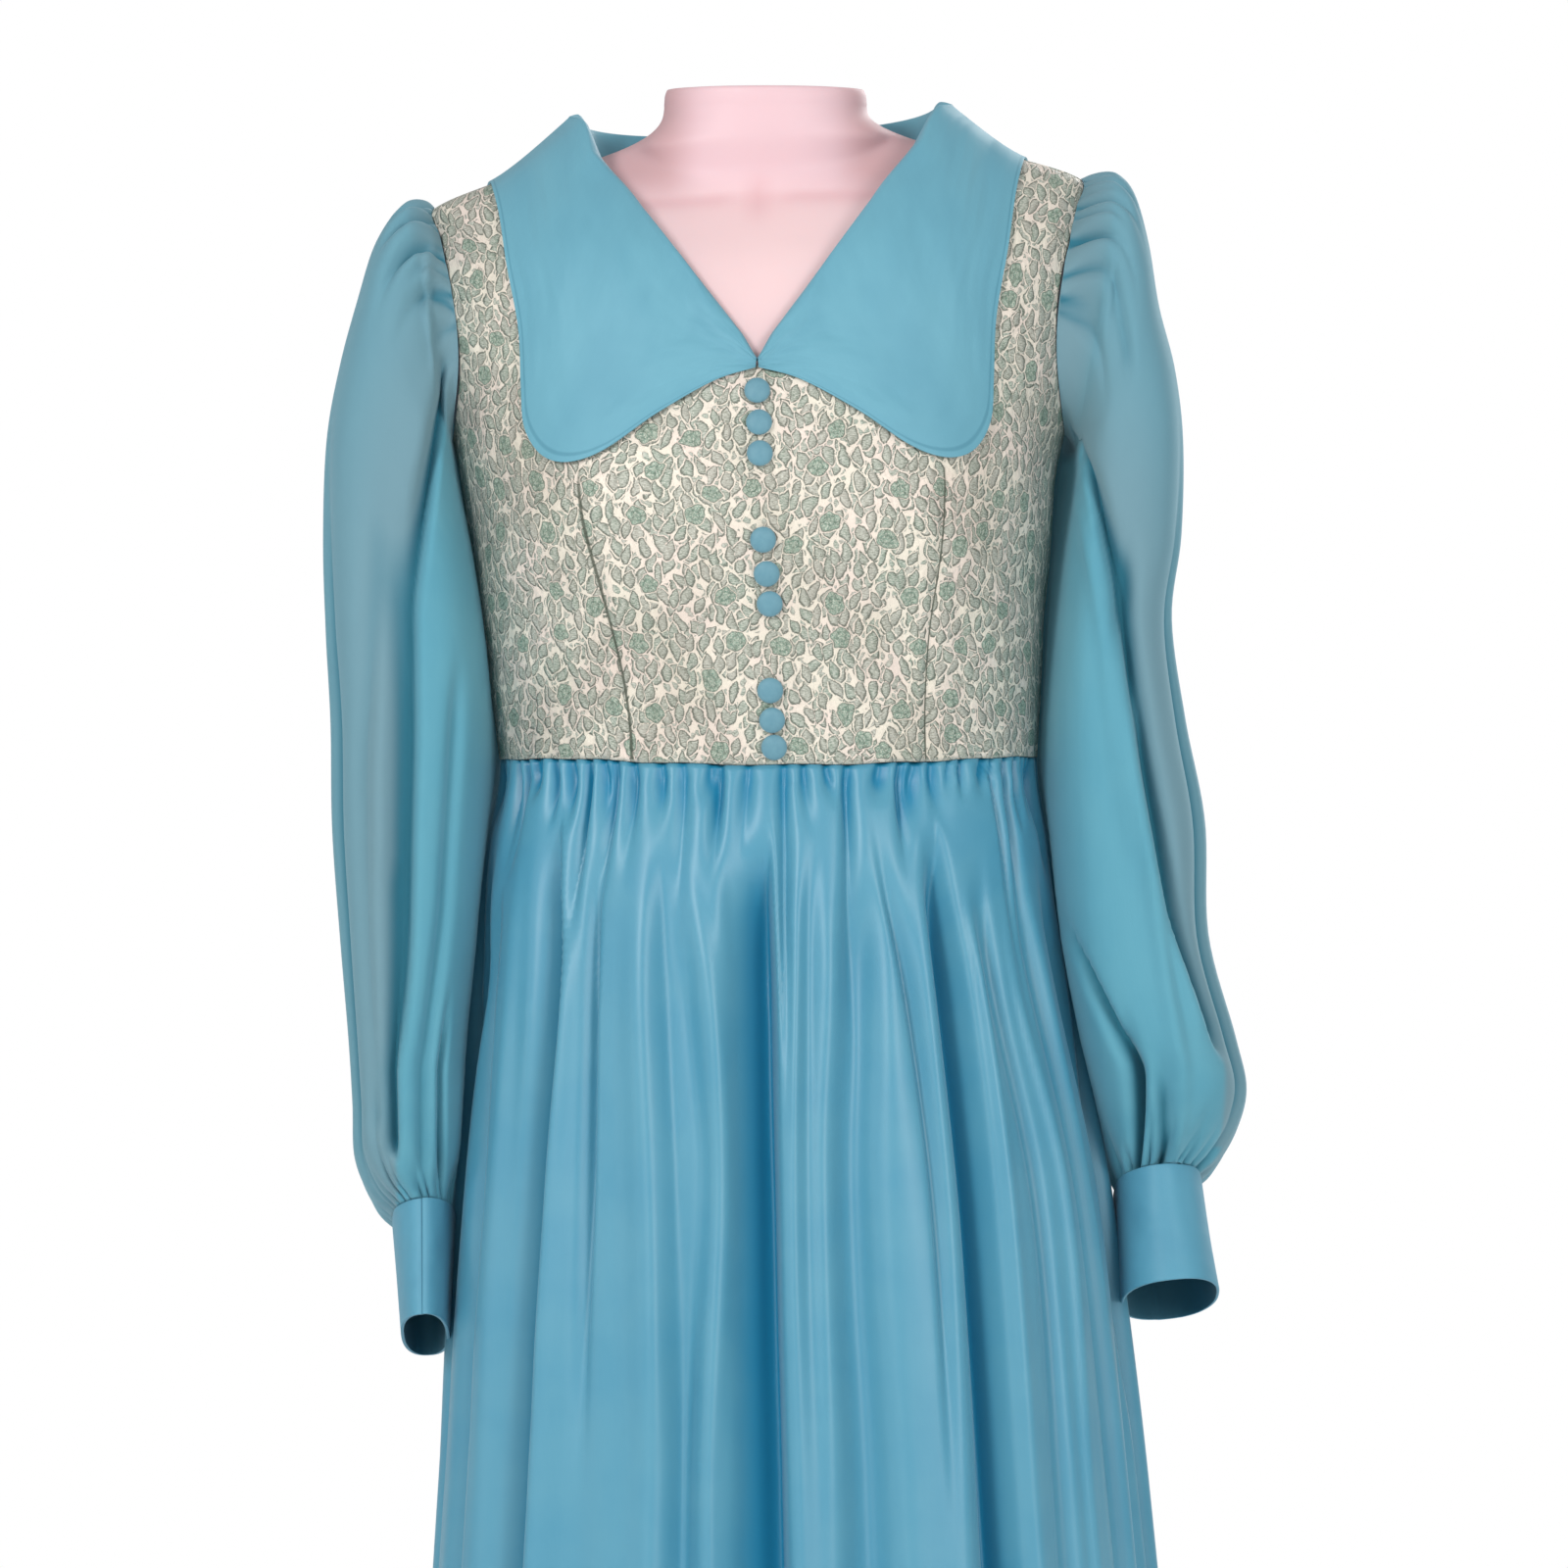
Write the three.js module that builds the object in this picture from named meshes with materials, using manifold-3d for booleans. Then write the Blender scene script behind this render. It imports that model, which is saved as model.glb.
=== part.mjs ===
import * as THREE from "three";
import { mergeVertices } from "three/addons/utils/BufferGeometryUtils.js";
import Module from "manifold-3d";

// A full-length prairie dress with a raised waist, worn by a limbless dress form on a round-based stand.
// Millimetres, +Z up. The front faces -Y and the wearer's left is +X.
// The origin is on the floor, at the centre of the stand's base.
// Cloth is a thin wall. Its surfaces are functions of an angle and a height h above the waist seam.
// The angle is a ring's own parameter: -90 degrees at centre front, 0 at the side seam, 90 at centre back.

const wasm = await Module();
wasm.setup();

// Heights of the dress
const WAIST_Z = 1075; // seam between bodice and skirt, above the floor
const HEM_H = -1045; // hem, below the waist seam
const UNDERARM_H = 165;
const SHOULDER_TIP_H = 290;
const NECK_POINT_H = 316; // where the shoulder seam meets the neckline
const NECK_POINT_X = 89;
const V_BOTTOM_H = 200; // lowest point of the V neck
const BACK_NECK_H = 302;

// Cloth thicknesses
const BODICE_WALL = 1.6;
const COLLAR_WALL = 1.6;
const SLEEVE_WALL = 1.2;
const CUFF_WALL = 2;
const SKIRT_WALL = 1.3;

// Clearances between pieces
const SEAM_GAP = 0.6; // between two pieces sewn edge to edge
const SLEEVE_CLEARANCE = 2.2; // between a hanging sleeve and the body or skirt beside it
const SLEEVE_SEAT = 0.45; // between a sleeve's edge and the bodice under it
const ZIP_HALF_GAP = 2.9; // from centre back to each edge of the opening
const ZIP_BOTTOM_H = -70;

// Shape of the torso
const RING_POWER = 2.2; // 2 is an ellipse, more is squarer
const BUST_RISE = 8;
const BUST_ANGLE = -58;
const BUST_SPREAD = 27;
const BUST_H = 128;
const BUST_HEIGHT = 55;
const ARMHOLE_FRONT_ANGLE = 27; // how far the armhole cuts into the front and the back
const ARMHOLE_BACK_ANGLE = 23;
const LEAN_X = -5.5; // sideways drift of the upper body on its stand
const LEAN_FULL_H = 200;
const SHOULDER_TILT = 0.045; // rise of the shoulders towards the wearer's left

// Gathers
const WAIST_GATHERS = 70;
const WAIST_GATHER_DEPTH = 4.2;
const GATHERED_DROP = 150; // how far below the seam the waist gathers fade
const BACK_FOLDS = 11; // round the back half of the skirt
const CAP_GATHERS = 14;
const CUFF_GATHERS = 22;

const DEGREE = Math.PI / 180;
const UP = new THREE.Vector3(0, 0, 1);

function tableOf(columns, rows) {
  const names = columns.split(" ");
  return rows.map((row, at) => Object.fromEntries([["row", at], ...names.map((name, i) => [name, row[i]])]));
}

// Body of the bodice, ring by ring
const TORSO = tableOf("h halfWidth front back", [
  [0, 138, 98, 92],
  [62, 144, 110, 97],
  [110, 149, 117, 100],
  [150, 154, 117, 103],
  [190, 163, 110, 104],
  [228, 170, 98, 102],
  [255, 172, 84, 95],
  [276, 170, 64, 86],
  [290, 166, 46, 74],
  [302, 136, 32, 62],
  [316, 89, 14, 42],
]);

// Outermost ring of the skirt, which its folds cut into
const SKIRT = tableOf("h halfWidth front back centreX", [
  [-1045, 240, 208, 212, 18],
  [-700, 211, 178, 182, 16],
  [-368, 182, 150, 154, 12],
  [-287, 175, 143, 148, 9.5],
  [-212, 167, 135, 141, 7],
  [-135, 157, 126, 131, 2.5],
  [-75, 149, 117, 120, 0],
  [-40, 144, 110, 110, 0],
  [-14, 139.4, 103, 99, 0],
  [0, 138, 98, 92, 0],
]);

// Dress form below the waist, where nothing of the dress touches it
const FORM_HIPS = tableOf("h halfWidth front back", [
  [-205, 96, 60, 66],
  [-203, 122, 82, 90],
  [-190, 136, 94, 103],
  [-160, 138, 96, 106],
  [-110, 131, 92, 98],
  [-55, 125, 86, 84],
  [0, 132, 91, 85],
]);

const FORM_NECK = tableOf("h halfWidth front back", [
  [262, 58, 50, 50],
  [300, 62, 49, 52],
  [312, 64, 48, 51],
  [317, 67, 48, 51],
  [321, 62, 47.5, 50.5],
  [328, 53.5, 46.5, 49.5],
  [336, 52, 46, 49],
  [341, 51.5, 46, 49],
  [344, 49.5, 44, 47],
]);

// Main folds of the skirt's front: angle from centre front, at the waist and at the hem, half-width,
// greatest depth, and the height at which the fold has faded out
const FRONT_FOLDS = tableOf("top hem width depth fades", [
  [-81, -82, 5, 10, -2000],
  [-66, -65.6, 5, 16, -2000],
  [-57, -56, 4, 7, -700],
  [-47, -46, 4.4, 23, -2000],
  [-34.4, -33, 4.5, 9, -330],
  [-15, -16, 5.5, 9, -2000],
  [-1.8, -2, 4.4, 27, -2000],
  [17, 11, 4.6, 13, -2000],
  [20, 26, 4.4, 8, -600],
  [35.5, 35.5, 4.4, 25, -2000],
  [47, 51, 5, 13, -2000],
  [66, 67, 5, 16, -2000],
  [80, 81, 5, 10, -2000],
]);

// Sleeves: the outermost and innermost point of each section, seen from the front, and half its depth
const SECTIONS = "outX outH inX inH depth";
const SLEEVES = {
  left: tableOf(SECTIONS, [
    [166, 299, 156, 165, 46],
    [171, 303, 157, 162, 52],
    [179, 301, 158, 158, 57],
    [188, 290, 158, 153, 61],
    [195, 265, 158, 146, 65],
    [200, 233, 157, 138, 69],
    [208, 200, 155, 126, 72],
    [212, 163, 152, 108, 75],
    [211, 115, 149, 84, 77],
    [206, 72, 146, 54, 78],
    [213, 20, 144, 12, 78],
    [223, -32, 145, -36, 78],
    [225, -90, 149, -92, 77],
    [239, -142, 158, -140, 75],
    [245, -170, 166, -172, 71],
    [240, -192, 171, -194, 64],
    [230, -209, 175, -210, 54],
    [221, -217, 179, -221, 43],
  ]),
  right: tableOf(SECTIONS, [
    [173, 285, 162, 165, 46],
    [178, 290, 162, 160, 52],
    [186, 287, 161, 155, 57],
    [195, 278, 160, 149, 61],
    [203, 262, 159, 142, 65],
    [210, 238, 157, 133, 69],
    [219, 204, 154, 120, 72],
    [226, 165, 150, 102, 75],
    [228, 116, 146, 78, 77],
    [227, 70, 143, 50, 78],
    [224, 20, 142, 12, 78],
    [223, -36, 145, -36, 78],
    [219, -92, 149, -92, 77],
    [215, -142, 154, -142, 73],
    [213, -178, 155, -176, 68],
    [212, -207, 156, -204, 61],
    [204, -227, 159, -222, 53],
    [192, -238, 162, -235, 43],
  ]),
};

// Long folds of each sleeve: angle round the section, 0 at its outer edge and 90 at the front, and depth
const SLEEVE_FOLDS = {
  left: tableOf("top low width depth", [
    [128, 72, 13, 15],
    [60, 44, 12, 8],
    [160, 118, 12, 7],
    [215, 236, 14, 12],
    [275, 288, 15, 13],
    [325, 322, 13, 8],
  ]),
  right: tableOf("top low width depth", [
    [104, 80, 13, 16],
    [142, 116, 11, 8],
    [52, 48, 13, 7],
    [222, 240, 14, 12],
    [280, 292, 15, 13],
    [328, 325, 13, 8],
  ]),
};

// Cuffs: sections from the sleeve down to the wrist edge
const CUFF_SECTIONS = "outX outH inX inH depth";
const CUFFS = {
  left: tableOf(CUFF_SECTIONS, [
    [221, -217.2, 179, -221.2, 43],
    [225, -247, 180.5, -251, 41.5],
    [229.5, -274, 182, -279, 40.5],
  ]),
  right: tableOf(CUFF_SECTIONS, [
    [191.7, -238.2, 162, -235.2, 43],
    [189, -267, 163.5, -266, 43],
    [186.5, -295, 165, -294, 43],
  ]),
};
const CUFF_DIP = 0.3; // the back of each cuff hangs lower than its front
const WRIST_FORWARD = { left: -17, right: -20 }; // y of the wrist edge's middle
const CUFF_SLANT = 17; // how much further back each cuff's upper edge is
const ELBOW_Y = -6;

// Collar: places along the neckline, 0 at the V, 1 at the shoulder and 2 at centre back,
// and the point of the collar's edge that each one reaches
const COLLAR = tableOf("neck edgeX edgeH", [
  [0.055, 1.6, 195.5],
  [0.14, 22, 190.5],
  [0.28, 50, 174],
  [0.4, 74, 156],
  [0.5, 91, 150.5],
  [0.58, 104, 155],
  [0.65, 113.5, 169],
  [0.73, 117, 190],
  [0.82, 120, 222],
  [0.91, 127, 257],
  [0.96, 131.5, 283],
  [1, 137, 301],
  [1.2, 140, 284],
  [1.4, 126, 263],
  [1.6, 98, 248],
  [1.76, 67, 235],
  [1.86, 43, 227.5],
  [1.93, 24, 228],
  [1.975, 13, 237],
]);
const RIB_SPACING = 20; // greatest distance between two ribs at the edge
const COLLAR_CLEARANCE = 3.2; // outer face of the collar above the bodice
const COLLAR_RISE = { v: 2.5, shoulder: 12, centreBack: 17 }; // roll above the neckline

// Covered buttons: centres, as sewn on, to the wearer's left of the bodice's middle line
const BUTTONS = tableOf("h x", [
  [185.5, 0],
  [169.5, 0.8],
  [154, 1],
  [111, 1.7],
  [94, 3],
  [79, 4],
  [35.5, 2.6],
  [20.5, 2.9],
  [6.8, 3.3],
]);
const BUTTON_PROFILE = tableOf("radius height", [
  [0, 0],
  [5.4, 0],
  [6.5, 1.5],
  [5.5, 3.3],
  [3, 4.4],
  [0, 4.7],
]);

// Zip
const TEETH_WIDTH = 4.6;
const TEETH_THICKNESS = 1.8;
const SLIDER = { width: 7.6, height: 10, thickness: 2.2 };
const SLIDER_H = 288;
const EAR_THICKNESS = 0.9;
const EAR_HEIGHT = 3.2;
const PIN_RADIUS = 0.5;
const TAB = { width: 4, length: 24, thickness: 1, eye: 1.5, bore: 0.85 };

// Stand
const BASE_RADIUS = 165;
const BASE_THICKNESS = 16;
const BASE_RIM = 6;
const COLLET_RADIUS = 24;
const COLLET_HEIGHT = 26;
const POLE_RADIUS = 15;

const clamp01 = (x) => Math.min(1, Math.max(0, x));
const smooth = (x) => clamp01(x) ** 2 * (3 - 2 * clamp01(x));
const mix = (a, b, t) => a + (b - a) * t;

// Every column of a table at one place, smoothly between its rows
function sample(table, key, at) {
  const last = table.length - 1;
  let i = 0;
  while (i < last - 1 && table[i + 1][key] < at) i++;
  const [a, b] = [table[i], table[i + 1]];
  const before = table[Math.max(0, i - 1)];
  const after = table[Math.min(last, i + 2)];
  const span = b[key] - a[key];
  const t = clamp01((at - a[key]) / span);
  const made = {};
  for (const name of Object.keys(a)) {
    const slopeA = (b[name] - before[name]) / (b[key] - before[key]);
    const slopeB = (after[name] - a[name]) / (after[key] - a[key]);
    made[name] =
      a[name] * (1 + 2 * t) * (1 - t) ** 2 +
      b[name] * t * t * (3 - 2 * t) +
      span * slopeA * t * (1 - t) ** 2 +
      span * slopeB * t * t * (t - 1);
  }
  return made;
}

const depthAt = (row, angle) => (Math.sin(angle * DEGREE) < 0 ? row.front : row.back);
const rounded = (x) => Math.sign(x) * Math.abs(x) ** (2 / RING_POWER);
const unrounded = (x) => Math.min(1, Math.abs(x)) ** (RING_POWER / 2);

// A point of a ring, as a rounded ellipse with its own front and back
function ringPoint(row, angle) {
  const x = row.halfWidth * rounded(Math.cos(angle * DEGREE));
  return [x, depthAt(row, angle) * rounded(Math.sin(angle * DEGREE))];
}

// Distance from the middle to a ring, in a true direction
function ringReach(row, direction) {
  const c = Math.abs(Math.cos(direction * DEGREE)) / row.halfWidth;
  const s = Math.abs(Math.sin(direction * DEGREE)) / depthAt(row, direction);
  return (c ** RING_POWER + s ** RING_POWER) ** (-1 / RING_POWER);
}

// The angle at which a ring is x wide of its middle
const angleAtX = (row, x) => Math.acos(unrounded(x / row.halfWidth)) / DEGREE;

function leanShift(h) {
  return LEAN_X * Math.sin((Math.PI / 2) * clamp01(h / LEAN_FULL_H));
}

function leaned(x, y, h) {
  const rise = SHOULDER_TILT * x * clamp01(h / SHOULDER_TIP_H) ** 2;
  return new THREE.Vector3(x + leanShift(h), y, WAIST_Z + h + rise);
}

function bustRise(angle, h) {
  return BUST_RISE * Math.exp(-(((angle - BUST_ANGLE) / BUST_SPREAD) ** 2) - ((h - BUST_H) / BUST_HEIGHT) ** 2);
}

// A point on the bodice's outer face. side is 1 for the wearer's left and -1 for the right.
function torsoPoint(side, angle, h) {
  const [x, y] = ringPoint(sample(TORSO, "h", h), angle);
  const swell = 1 + bustRise(angle, h) / Math.hypot(x, y);
  return leaned(side * x * swell, y * swell, h);
}

function torsoReach(direction, h) {
  const row = sample(TORSO, "h", h);
  const reach = ringReach(row, direction);
  const angle = Math.asin(unrounded((reach * Math.sin(direction * DEGREE)) / depthAt(row, direction))) / DEGREE;
  return reach + bustRise(direction < 0 ? -angle : angle, h);
}

const frontAngle = (x, h) => -angleAtX(sample(TORSO, "h", h), x);
const backAngle = (x, h) => angleAtX(sample(TORSO, "h", h), x);

// The angle that leaves half a seam's gap at the side seam
function sideAngle(front, h) {
  const row = sample(TORSO, "h", h);
  const angle = Math.asin(unrounded(SEAM_GAP / 2 / (front ? row.front : row.back))) / DEGREE;
  return front ? -angle : angle;
}

// A cloth vertex: its place, and the direction in which its wall faces
function vertexOf(pointAt, a, b, facing = 1, stepA = 0.4, stepB = 0.8) {
  const p = pointAt(a, b);
  const alongA = pointAt(a + stepA, b).sub(pointAt(a - stepA, b));
  const alongB = pointAt(a, b + stepB).sub(pointAt(a, b - stepB));
  return { p, n: alongA.cross(alongB).normalize().multiplyScalar(facing) };
}

// Triangles between rows of vertices. Rows may differ in count: each is stitched evenly to the next.
class Sheet {
  constructor() {
    this.vertices = [];
    this.faces = [];
  }

  row(vertices) {
    const first = this.vertices.length;
    this.vertices.push(...vertices);
    return vertices.map((_, i) => first + i);
  }

  stitch(lower, upper, closed = false) {
    const a = closed ? [...lower, lower[0]] : lower;
    const b = closed ? [...upper, upper[0]] : upper;
    const apart = (m, n) => this.vertices[m].p.distanceTo(this.vertices[n].p);
    let i = 0;
    let j = 0;
    while (i < a.length - 1 || j < b.length - 1) {
      const lead = (i + 1) / (a.length - 1) - (j + 1) / (b.length - 1);
      const shorter = Math.abs(lead) < 1e-9 && apart(a[i + 1], b[j]) <= apart(a[i], b[j + 1]);
      if (j === b.length - 1 || (i < a.length - 1 && (shorter || lead < -1e-9))) {
        this.faces.push([a[i], a[i + 1], b[j]]);
        i++;
      } else {
        this.faces.push([a[i], b[j + 1], b[j]]);
        j++;
      }
    }
  }

  rows(rows, closed = false) {
    const made = rows.map((row) => this.row(row));
    for (let k = 1; k < made.length; k++) this.stitch(made[k - 1], made[k], closed);
    return this;
  }

  // The same vertices where two sheets meet become one
  joined(other) {
    const made = new Sheet();
    const seen = new Map();
    const place = (v) => {
      const key = v.p.toArray().map((x) => Math.round(x * 1e3)).join();
      if (!seen.has(key)) seen.set(key, made.vertices.push(v) - 1);
      return seen.get(key);
    };
    for (const sheet of [this, other])
      for (const face of sheet.faces) {
        const merged = face.map((i) => place(sheet.vertices[i]));
        if (new Set(merged).size === 3) made.faces.push(merged);
      }
    return made;
  }
}

// Normals that are the mean of the faces round each vertex, for a sheet that curls
function faceNormals(sheet) {
  for (const v of sheet.vertices) v.n = new THREE.Vector3();
  for (const [a, b, c] of sheet.faces) {
    const [p, q, r] = [a, b, c].map((i) => sheet.vertices[i].p);
    const n = q.clone().sub(p).cross(r.clone().sub(p));
    for (const i of [a, b, c]) sheet.vertices[i].n.add(n);
  }
  for (const v of sheet.vertices) v.n.normalize();
  return sheet;
}

// A closed wall with the sheet as its outer face
function wall(sheet, thickness) {
  const count = sheet.vertices.length;
  const outer = sheet.vertices.map((v) => v.p);
  const inner = sheet.vertices.map((v) => v.p.clone().addScaledVector(v.n, -thickness));
  const faces = [];
  const edges = new Map();
  for (const [a, b, c] of sheet.faces) {
    faces.push([a, b, c], [c + count, b + count, a + count]);
    for (const [from, to] of [[a, b], [b, c], [c, a]]) {
      const back = `${to},${from}`;
      if (edges.has(back)) edges.delete(back);
      else edges.set(`${from},${to}`, [from, to]);
    }
  }
  for (const [from, to] of edges.values())
    faces.push([to, from, from + count], [to, from + count, to + count]);
  return solidOf([...outer, ...inner], faces);
}

function signedVolume(points, faces) {
  return faces.reduce((sum, [a, b, c]) => sum + points[a].dot(points[b].clone().cross(points[c])), 0);
}

function solidOf(points, faces) {
  const turned = signedVolume(points, faces) < 0;
  const index = faces.flatMap(([a, b, c]) => (turned ? [a, c, b] : [a, b, c]));
  const geometry = new THREE.BufferGeometry().setFromPoints(points);
  geometry.setIndex(index);
  return geometry;
}

function manifoldOf(geometry) {
  const bare = geometry.clone();
  bare.deleteAttribute("normal");
  bare.deleteAttribute("uv");
  const merged = mergeVertices(bare, 1e-4);
  return new wasm.Manifold(
    new wasm.Mesh({
      numProp: 3,
      vertProperties: merged.attributes.position.array,
      triVerts: new Uint32Array(merged.index.array),
    }),
  );
}

function geometryOf(manifold) {
  const mesh = manifold.getMesh();
  const geometry = new THREE.BufferGeometry();
  geometry.setAttribute("position", new THREE.BufferAttribute(mesh.vertProperties, 3));
  geometry.setIndex(new THREE.BufferAttribute(mesh.triVerts, 1));
  return geometry;
}

const spread = (from, to, steps) =>
  Array.from({ length: steps + 1 }, (_, i) => mix(from, to, i / steps));

// Bodice

const LOWER_ROWS = [0, 26, 54, 82, 110, 138];
const FRONT_COLUMNS = 10;
const BACK_COLUMNS = 8;

// The armhole's edge on one panel, from the underarm at 0 to the shoulder tip at 1
function armholeEdge(front, t) {
  const turn = Math.PI * (1 - t);
  const h = mix(UNDERARM_H, SHOULDER_TIP_H, 0.5 + 0.5 * Math.cos(turn));
  const reach = front ? -ARMHOLE_FRONT_ANGLE : ARMHOLE_BACK_ANGLE;
  return { angle: reach * Math.sin(turn) + sideAngle(front, h), h };
}

// The V neck, from its lowest point at 0 to the shoulder seam at 1
function frontNeckline(t) {
  const h = mix(V_BOTTOM_H, NECK_POINT_H, t);
  return { angle: Math.min(sideAngle(true, h), frontAngle(NECK_POINT_X * t, h)), h };
}

function backNeckline(angle) {
  return { angle, h: NECK_POINT_H - (NECK_POINT_H - BACK_NECK_H) * Math.sin(angle * DEGREE) ** 2 };
}

function bodicePanel(side, inner, outer, columns) {
  const pointAt = (angle, h) => torsoPoint(side, angle, h);
  const across = spread(0, 1, columns);
  return across.map((u) =>
    vertexOf(pointAt, mix(inner.angle, outer.angle, u), mix(inner.h, outer.h, u), side),
  );
}

const V_SHARE = 0.2; // how far up the armhole the V starts
function frontHalf(side) {
  const lower = LOWER_ROWS.map((h) => [{ angle: -90, h }, { angle: sideAngle(true, h), h }]);
  const upper = [0, V_SHARE, 0.34, 0.48, 0.6, 0.7, 0.79, 0.87, 0.94, 1].map((t) => {
    const inner =
      t <= V_SHARE
        ? { angle: -90, h: mix(UNDERARM_H, V_BOTTOM_H, t / V_SHARE) }
        : frontNeckline((t - V_SHARE) / (1 - V_SHARE));
    return [inner, armholeEdge(true, t)];
  });
  return new Sheet().rows(
    [...lower, ...upper].map(([inner, outer]) => bodicePanel(side, inner, outer, FRONT_COLUMNS)),
  );
}

function turnedOver(sheet) {
  sheet.faces = sheet.faces.map(([a, b, c]) => [a, c, b]);
  return sheet;
}

function bodiceFront() {
  return wall(frontHalf(1).joined(turnedOver(frontHalf(-1))), BODICE_WALL);
}

const BACK_NECK_SHARE = 0.66; // how far up the armhole the back neckline starts
function bodiceBack(side) {
  const centreBack = (h) => backAngle(ZIP_HALF_GAP, h);
  const lower = LOWER_ROWS.map((h) => [{ angle: centreBack(h), h }, { angle: sideAngle(false, h), h }]);
  const upper = [0, 0.2, 0.38, 0.53, BACK_NECK_SHARE, 0.75, 0.83, 0.92, 1].map((t) => {
    const h = mix(UNDERARM_H, BACK_NECK_H, t / BACK_NECK_SHARE);
    const round = (t - BACK_NECK_SHARE) / (1 - BACK_NECK_SHARE);
    const inner =
      t <= BACK_NECK_SHARE
        ? { angle: centreBack(h), h }
        : backNeckline(mix(centreBack(BACK_NECK_H), sideAngle(false, NECK_POINT_H), round));
    return [inner, armholeEdge(false, t)];
  });
  const sheet = new Sheet().rows(
    [...lower, ...upper].map(([inner, outer]) => bodicePanel(side, inner, outer, BACK_COLUMNS)),
  );
  return wall(sheet, BODICE_WALL);
}

// Skirt

// How far the main folds cut in at this angle from centre front, each side of it to 180
function mainFolds(fromFront, h) {
  const down = clamp01(h / HEM_H);
  const grown = smooth((-h - 12) / 160) * (0.62 + 0.38 * down);
  let depth = 0;
  for (const fold of FRONT_FOLDS) {
    const off = (fromFront - mix(fold.top, fold.hem, down)) / fold.width;
    depth += fold.depth * Math.exp(-off * off) * smooth((h - fold.fades) / 150);
  }
  const back = clamp01((Math.abs(fromFront) - 84) / 10);
  const swing = 1.4 * Math.sin(fromFront * 0.11 + h * 0.002);
  const wave = Math.cos((fromFront + swing) * BACK_FOLDS * 2 * DEGREE);
  return grown * (depth + back * (13 + 5 * Math.sin(fromFront * 0.083)) * (0.5 - 0.5 * wave));
}

// How far the small gathers cut in
function waistGathers(fromFront, h) {
  const wave = (1 - Math.cos(fromFront * WAIST_GATHERS * DEGREE)) / 2;
  const uneven = 1 + 0.3 * Math.sin(fromFront * 0.29) + 0.2 * Math.sin(fromFront * 0.83);
  const held = 0.45 + 0.55 * smooth(-h / 16);
  const fade = 1 - smooth((-h - 25) / (GATHERED_DROP - 25));
  return WAIST_GATHER_DEPTH * uneven * held * fade * wave;
}

// A point of the skirt. Gathers are evenly numbered round it, and lie a little unevenly.
function skirtPoint(angle, h) {
  const fromFront = ((angle + 90 + 540) % 360) - 180;
  const row = sample(SKIRT, "h", h);
  const [x, y] = ringPoint(row, angle + 0.7 * Math.sin(fromFront * 12 * DEGREE));
  const taken = 1 - (mainFolds(fromFront, h) + waistGathers(fromFront, h)) / Math.hypot(x, y);
  return new THREE.Vector3(row.centreX + x * taken, y * taken, WAIST_Z + h);
}

const SKIRT_ROWS = tableOf("h perGather", [
  [HEM_H, 1.4],
  [-820, 1.4],
  [-600, 1.4],
  [-420, 1.4],
  [-300, 1.4],
  [-200, 1.4],
  [-120, 1.4],
  [ZIP_BOTTOM_H, 2],
  [-40, 2],
  [-18, 2],
  [-SEAM_GAP, 2],
]);

// One panel between two angles, where each edge may follow the zip's opening
function skirtPanel(from, to) {
  const share = Math.abs(to - from) / 360;
  const edge = (angle, h, inward) => {
    const row = sample(SKIRT, "h", h);
    if (angle === 90) {
      const gap = h >= ZIP_BOTTOM_H ? ZIP_HALF_GAP : SEAM_GAP / 2;
      return 90 + inward * (90 - angleAtX(row, gap));
    }
    const depth = (angle === 0) === inward > 0 ? row.back : row.front;
    return angle + (inward * Math.asin(unrounded(SEAM_GAP / 2 / depth))) / DEGREE;
  };
  const sheet = new Sheet().rows(
    SKIRT_ROWS.map(({ h, perGather }) =>
      spread(edge(from, h, 1), edge(to, h, -1), Math.round(WAIST_GATHERS * perGather * share)).map(
        (angle) => vertexOf(skirtPoint, angle, h),
      ),
    ),
  );
  return wall(sheet, SKIRT_WALL);
}

// Sleeves

// Moves a point out of the body or the skirt beside it
function clearOfBody(p) {
  const h = p.z - WAIST_Z;
  const skirt = h < 0 ? sample(SKIRT, "h", h) : null;
  const centre = skirt ? skirt.centreX : leanShift(h);
  const [x, y] = [p.x - centre, p.y];
  const direction = Math.atan2(y, Math.abs(x)) / DEGREE;
  const reach = skirt ? ringReach(skirt, direction) : torsoReach(direction, Math.min(h, UNDERARM_H));
  const r = reach + SLEEVE_CLEARANCE;
  const away = Math.hypot(x, y);
  if (away >= r || h > UNDERARM_H - 8) return p;
  return new THREE.Vector3(centre + (x * r) / away, (y * r) / away, p.z);
}

// The sleeve's sewn edge, a closed loop over the armhole's edge.
// It turns from 0 at the shoulder tip to 90 at the front and 180 under the arm.
function armholeLoop(side, turn) {
  const front = turn < 180;
  const t = front ? 1 - turn / 180 : turn / 180 - 1;
  const { angle, h } = armholeEdge(front, t);
  const { p, n } = vertexOf((a, b) => torsoPoint(side, a, b), angle, h, side);
  return p.addScaledVector(n, SLEEVE_WALL + SLEEVE_SEAT);
}

// An oval section through the outermost and innermost points of a row
function section(side, row, middleY, turn, cut = 0, dip = 0) {
  const rad = turn * DEGREE;
  const power = 2 / 2.4;
  const c = Math.sign(Math.cos(rad)) * Math.abs(Math.cos(rad)) ** power;
  const s = Math.sign(Math.sin(rad)) * Math.abs(Math.sin(rad)) ** power;
  const scale = 1 - cut / row.depth;
  const x = mix(row.inX, row.outX, 0.5 + 0.5 * c * scale);
  const h = mix(row.inH, row.outH, 0.5 + 0.5 * c * scale);
  const y = -row.depth * s * scale;
  return new THREE.Vector3(side * x, middleY + y, WAIST_Z + h - dip * y);
}

function angleBetween(a, b) {
  return ((((a - b) % 360) + 540) % 360) - 180;
}

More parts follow.
